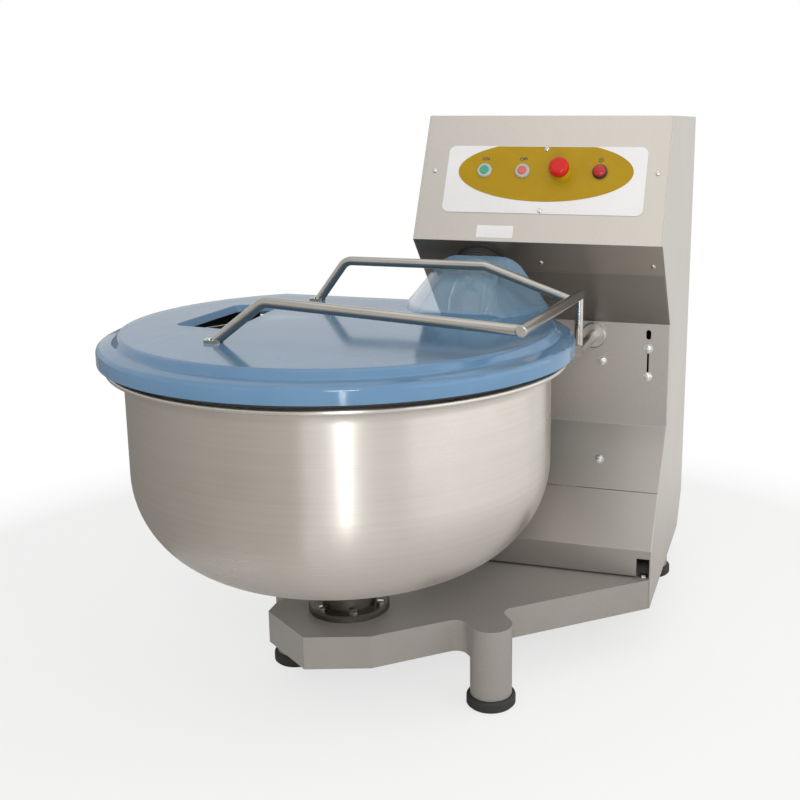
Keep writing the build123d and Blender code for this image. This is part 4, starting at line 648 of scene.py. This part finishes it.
# Lamp lens: a dome with pressed rings on a neck that sits in the bezel
lens = {"x": 341.9, "up": 149.0, "neck": 9.2, "low": 2.2, "rim": 12.2, "bezelTop": 8.1, "skirt": 2.0,
        "dome": 4.4, "ringDeep": 0.16, "rings": 5}


def lensProfile(settings, steps=60):
    rim, neck, low, seatZ = (settings[key] for key in ("rim", "neck", "low", "bezelTop"))
    base = seatZ + settings["skirt"]
    profile = []
    for k in range(steps + 1):
        angle = math.pi / 2 * k / steps
        ripple = settings["ringDeep"] * (math.cos(2 * math.pi * settings["rings"] * k / steps) - 1) / 2
        profile.append((rim * math.sin(angle), base + settings["dome"] * math.cos(angle) + ripple))
    return profile + [(rim, seatZ), (neck, seatZ), (neck, low), (0, low)]


lensMesh = turnProfile("ringedLens", lensProfile(lens), 48)
lensMesh.transform(onConsole(lens["x"], lens["up"], 0))
ringedLens = finishPiece("ringedLens", lensMesh, redLens, "frame")
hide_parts("lamp_lens")
print("sticker and lens placed")


# Lid with a short collar round its feed window, so the eye looks through it into the dark bowl
feedLid = {"middle": (-277.0, -205.0), "half": (78.0, 162.0), "top": 705.0, "under": 701.0, "end": 681.0,
           "newEnd": 692.5, "draft": 14.0, "slack": 0.1}


def shortCollar(source, settings):
    mesh = source.copy()
    middle, half = settings["middle"], settings["half"]
    top, under, end, newEnd = (settings[key] for key in ("top", "under", "end", "newEnd"))
    normals = [corner.normal.copy() for corner in mesh.vertices]
    moved = 0
    for corner, normal in zip(mesh.vertices, normals):
        aside = [corner.co[k] / mm - middle[k] for k in (0, 1)]
        height = corner.co[2] / mm
        if abs(aside[0]) > half[0] or abs(aside[1]) > half[1] or height > under - settings["slack"]:
            continue
        inner = normal[0] * aside[0] + normal[1] * aside[1] < 0
        start = top if inner else under
        fall = (start - height) / (start - end)
        corner.co[2] = (start - fall * (start - newEnd)) * mm
        spare = (top - height) / (top - end) * settings["draft"] * (newEnd - end) / (top - end)
        for k in (0, 1):
            corner.co[k] += spare * aside[k] / half[k] * mm
        moved += 1
    print("feed window collar shortened at", moved, "points")
    return mesh


lidMesh = shortCollar(nodes["lid_shell"].data, feedLid)
lidPiece = addObject("feedLid", lidMesh)
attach(lidPiece, "lid_unit")
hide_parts("lid_shell")


# Ribbed black rubber boot where the arm leaves the console's underside, a dark piece set there as painted
# shade; a rib takes two thirds of its pitch
boot = {"middle": (108.0, 118.28, 783.07), "armTilt": math.radians(43.5), "noseR": 39.8, "flangeR": 52.0,
        "flange": (0.1, 2.2), "ribR": 45.5, "neckR": 43.0, "ribs": 3, "ribPitch": 7.0, "firstRib": 6.0,
        "end": 27.0, "edge": 1.0, "rise": 0.8}


def shadeBootProfile(settings):
    nose, flange, neck, end, edge = (settings[key] for key in ("noseR", "flangeR", "neckR", "end", "edge"))
    low, high = settings["flange"]
    profile = [(nose, low), (flange, low), (flange, high), (neck + edge, high + settings["rise"])]
    for k in range(settings["ribs"]):
        middle = settings["firstRib"] + k * settings["ribPitch"]
        for degrees in range(-90, 91, 30):
            turn = math.radians(degrees)
            profile.append((neck + (settings["ribR"] - neck) * math.cos(turn),
                            middle + settings["ribPitch"] / 3 * math.sin(turn)))
    return profile + [(neck, end - edge), (neck - edge, end), (nose, end), (nose, low)]


shadeBootMesh = turnProfile("armBoot", shadeBootProfile(boot), 64)
shadeBootMesh.transform(Matrix.Translation(Vector(boot["middle"]) * mm) @ Matrix.Rotation(
    math.pi / 2 + boot["armTilt"], 4, "X"))
# The boot's black rubber stands in for the shade under the console
finishPiece("armBoot", shadeBootMesh, blackRubber, "frame")
print("rubber boot fitted round the arm")


# Rolled rim: the bowl's wall flares out under the lid and ends in a round bead
rim = {"wallR": 378.0, "flareR": 26.0, "flareZ": 620.0, "flareTurn": 70, "beadR": 4.5,
       "beadAt": (403.5, 644.5), "beadTurn": (190, 450), "sunk": 2.0}


def rimProfile(settings):
    wall, flare, low, bead = (settings[key] for key in ("wallR", "flareR", "flareZ", "beadR"))
    beadX, beadZ = settings["beadAt"]
    beadFrom, beadTo = settings["beadTurn"]
    inner = wall - settings["sunk"]
    profile = [(inner, low)]
    for degrees in range(0, settings["flareTurn"] + 1, 5):
        turn = math.radians(degrees)
        profile.append((wall + flare * (1 - math.cos(turn)), low + flare * math.sin(turn)))
    for degrees in range(beadFrom, beadTo + 1, 10):
        turn = math.radians(degrees)
        profile.append((beadX + bead * math.cos(turn), beadZ + bead * math.sin(turn)))
    return profile + [(inner, beadZ + bead), (inner, low)]


bowlAxis = Matrix.Translation((*spunBowl["axis"], 0))
rimMesh = turnProfile("rolledRim", rimProfile(rim), 160)
rimMesh.transform(bowlAxis)
finishPiece("rolledRim", rimMesh, spunSteel, "bowl_unit")

# Black rubber strip inside the lid's skirt, leaning in over the rim, that darkens the gap under the lid's
# edge; it stops short of the hinge side, where the skirt dips as the lid opens
rubberLip = {"outline": [(416.2, 668.0), (416.2, 656.5), (398.0, 649.9), (397.2, 652.0), (412.8, 658.6),
                         (412.8, 668.0)], "from": 138.0, "to": 335.0, "steps": 120}


def lipMesh(settings):
    shape = bmesh.new()
    start = Matrix.Rotation(math.radians(settings["from"]), 4, "Z")
    corners = [shape.verts.new(start @ Vector((radius * mm, 0, height * mm)))
               for radius, height in settings["outline"]]
    face = shape.faces.new(corners)
    bmesh.ops.spin(shape, geom=[face, *face.edges, *face.verts], cent=(0, 0, 0), axis=(0, 0, 1),
                   angle=math.radians(settings["to"] - settings["from"]), steps=settings["steps"])
    bmesh.ops.recalc_face_normals(shape, faces=shape.faces[:])
    return toMesh(shape, "lidLip")


lidLipMesh = lipMesh(rubberLip)
lidLipMesh.transform(bowlAxis)
finishPiece("lidLip", lidLipMesh, blackRubber, "lid_unit")
print("rim rolled and lid lip fitted")


# Photograph's viewpoint: 50 mm lens, the frame's centre shifted to where the picture was cut
view = {"place": (0.73138, -2.01964, 1.05667), "yaw": 0.276661, "pitch": 0.213437, "roll": 0.00162619,
        "lens": 49.4725, "sensor": 36, "shift": (-0.1125, -0.0486)}


def placeCamera(settings):
    yaw, pitch, roll = settings["yaw"], settings["pitch"], settings["roll"]
    ahead = Vector((-math.sin(yaw) * math.cos(pitch), math.cos(yaw) * math.cos(pitch), -math.sin(pitch)))
    right = Vector((math.cos(yaw), math.sin(yaw), 0))
    up = right.cross(ahead)
    rightRolled = right * math.cos(roll) + up * math.sin(roll)
    upRolled = up * math.cos(roll) - right * math.sin(roll)
    camera = addObject("photoCamera", bpy.data.cameras.new("photoCamera"))
    camera.matrix_world = Matrix.Translation(settings["place"]) @ Matrix(
        (rightRolled, upRolled, -ahead)).transposed().to_4x4()
    camera.data.sensor_width = settings["sensor"]
    camera.data.lens = settings["lens"]
    camera.data.shift_x, camera.data.shift_y = settings["shift"]
    bpy.context.scene.camera = camera


placeCamera(view)

lamps = {
    "cameraKey": {"at": (0.95, -2.6, 1.75), "aim": (0.0, -0.2, 0.55), "size": (0.6, 0.6), "watts": 19},
    "lowStrip": {"at": (0.99, -2.65, 0.5), "aim": (0.0, -0.2, 0.5), "size": (0.1, 0.8), "watts": 5},
    "rightSoft": {"at": (2.9, 0.1, 1.3), "aim": (0.1, 0.1, 0.6), "size": (5.2, 3.4), "watts": 45},
    "ceilingSoft": {"at": (0.3, -0.6, 3.0), "aim": (0.0, 0.0, 0.5), "size": (2.4, 2.4), "watts": 10},
}


def hangLamp(name, settings):
    lamp = addObject(name, bpy.data.lights.new(name, "AREA"))
    lamp.data.shape = "RECTANGLE"
    lamp.data.size, lamp.data.size_y = settings["size"]
    lamp.data.energy = settings["watts"]
    lamp.location = settings["at"]
    way = Vector(settings["aim"]) - Vector(settings["at"])
    lamp.rotation_euler = way.to_track_quat("-Z", "Y").to_euler()


for lampName, lampSettings in lamps.items():
    hangLamp(lampName, lampSettings)

# White studio: the eye, metal and clear plastic see plain white, other light is a soft fill
studio = {"white": 1.0, "fill": 0.5}
world = bpy.data.worlds.new("whiteStudio")
world.use_nodes = True
bpy.context.scene.world = world
worldTree = world.node_tree
worldTree.nodes.clear()
rays = addNode(worldTree, "ShaderNodeLightPath")
seen = addNode(worldTree, "ShaderNodeMath", {
    0: rays.outputs["Is Camera Ray"], 1: rays.outputs["Is Glossy Ray"]}, operation="MAXIMUM")
seenOrClear = addNode(worldTree, "ShaderNodeMath", {
    0: seen.outputs[0], 1: rays.outputs["Is Transmission Ray"]}, operation="MAXIMUM")
level = addNode(worldTree, "ShaderNodeMapRange", {
    "Value": seenOrClear.outputs[0], "To Min": studio["fill"], "To Max": studio["white"]})
sky = addNode(worldTree, "ShaderNodeBackground", {"Color": (1, 1, 1, 1), "Strength": level.outputs[0]})
addNode(worldTree, "ShaderNodeOutputWorld", {"Surface": sky.outputs[0]})

# Pale floor that fades into the white round the machine
floorSettings = {"radius": 9.0, "fadeFrom": 0.6, "fadeTo": 1.6, "colour": "F4F3F1", "lift": 0.7}


def layFloor(settings):
    shape = bmesh.new()
    bmesh.ops.create_circle(shape, cap_ends=True, segments=96, radius=settings["radius"])
    mesh = toMesh(shape, "paleFloor")
    material, tree = newTree("paleStudioFloor")
    place = addNode(tree, "ShaderNodeTexCoord").outputs["Object"]
    distance = addNode(tree, "ShaderNodeVectorMath", {0: place}, operation="LENGTH")
    fade = addNode(tree, "ShaderNodeMapRange", {
        "Value": distance.outputs["Value"], "From Min": settings["fadeFrom"], "From Max": settings["fadeTo"]},
        interpolation_type="SMOOTHSTEP")
    matt = addNode(tree, "ShaderNodeBsdfDiffuse", {"Color": toLinear(settings["colour"])})
    plain = addNode(tree, "ShaderNodeEmission", {"Color": (1, 1, 1, 1), "Strength": 1.0})
    eyeRay = addNode(tree, "ShaderNodeLightPath").outputs["Is Camera Ray"]
    toEye = addNode(tree, "ShaderNodeMath", {0: eyeRay, 1: settings["lift"]}, operation="MULTIPLY")
    share = addNode(tree, "ShaderNodeMath", {0: fade.outputs[0], 1: toEye.outputs[0]}, operation="MAXIMUM")
    mix = addNode(tree, "ShaderNodeMixShader", {
        0: share.outputs[0], 1: matt.outputs[0], 2: plain.outputs[0]})
    addNode(tree, "ShaderNodeOutputMaterial", {"Surface": mix.outputs[0]})
    mesh.materials.append(material)
    floor = addObject("paleFloor", mesh)


layFloor(floorSettings)

# Grey studio card bent round the bowl's left, dark at its far end: only reflections see it
card = {"centre": spunBowl["axis"], "inner": 0.62, "outer": 1.35, "low": 0.006, "high": 0.76,
        "from": -85.0, "to": -235.0, "near": "D6D3CE", "far": "6E6A66"}


def bendCard(settings, steps=40):
    shape = bmesh.new()
    ramp = shape.verts.layers.float_color.new("shade")
    near, far = toLinear(settings["near"]), toLinear(settings["far"])
    inner, outer, low, high = (settings[key] for key in ("inner", "outer", "low", "high"))
    rows = []
    for k in range(steps + 1):
        angle = math.radians(settings["from"] + (settings["to"] - settings["from"]) * k / steps)
        row = []
        for radius, height in ((inner, low), (outer, low), (outer, high)):
            corner = shape.verts.new((settings["centre"][0] + radius * math.cos(angle),
                                      settings["centre"][1] + radius * math.sin(angle), height))
            corner[ramp] = [a + (b - a) * k / steps for a, b in zip(near, far)]
            row.append(corner)
        rows.append(row)
    for left, right in zip(rows, rows[1:]):
        for m in range(2):
            shape.faces.new((left[m], right[m], right[m + 1], left[m + 1]))
    mesh = toMesh(shape, "bentCard")
    material, tree = newTree("greyStudioCard")
    shade = addNode(tree, "ShaderNodeAttribute", attribute_name="shade")
    face = addNode(tree, "ShaderNodeEmission", {"Color": shade.outputs["Color"], "Strength": 1.0})
    addNode(tree, "ShaderNodeOutputMaterial", {"Surface": face.outputs[0]})
    mesh.materials.append(material)
    bentCard = addObject("bentCard", mesh)
    bentCard.visible_camera = False
    bentCard.visible_diffuse = False
    bentCard.visible_shadow = False
    bentCard.visible_transmission = False


bendCard(card)
bpy.context.scene.view_settings.view_transform = "Standard"
print("camera, lamps and floor set")
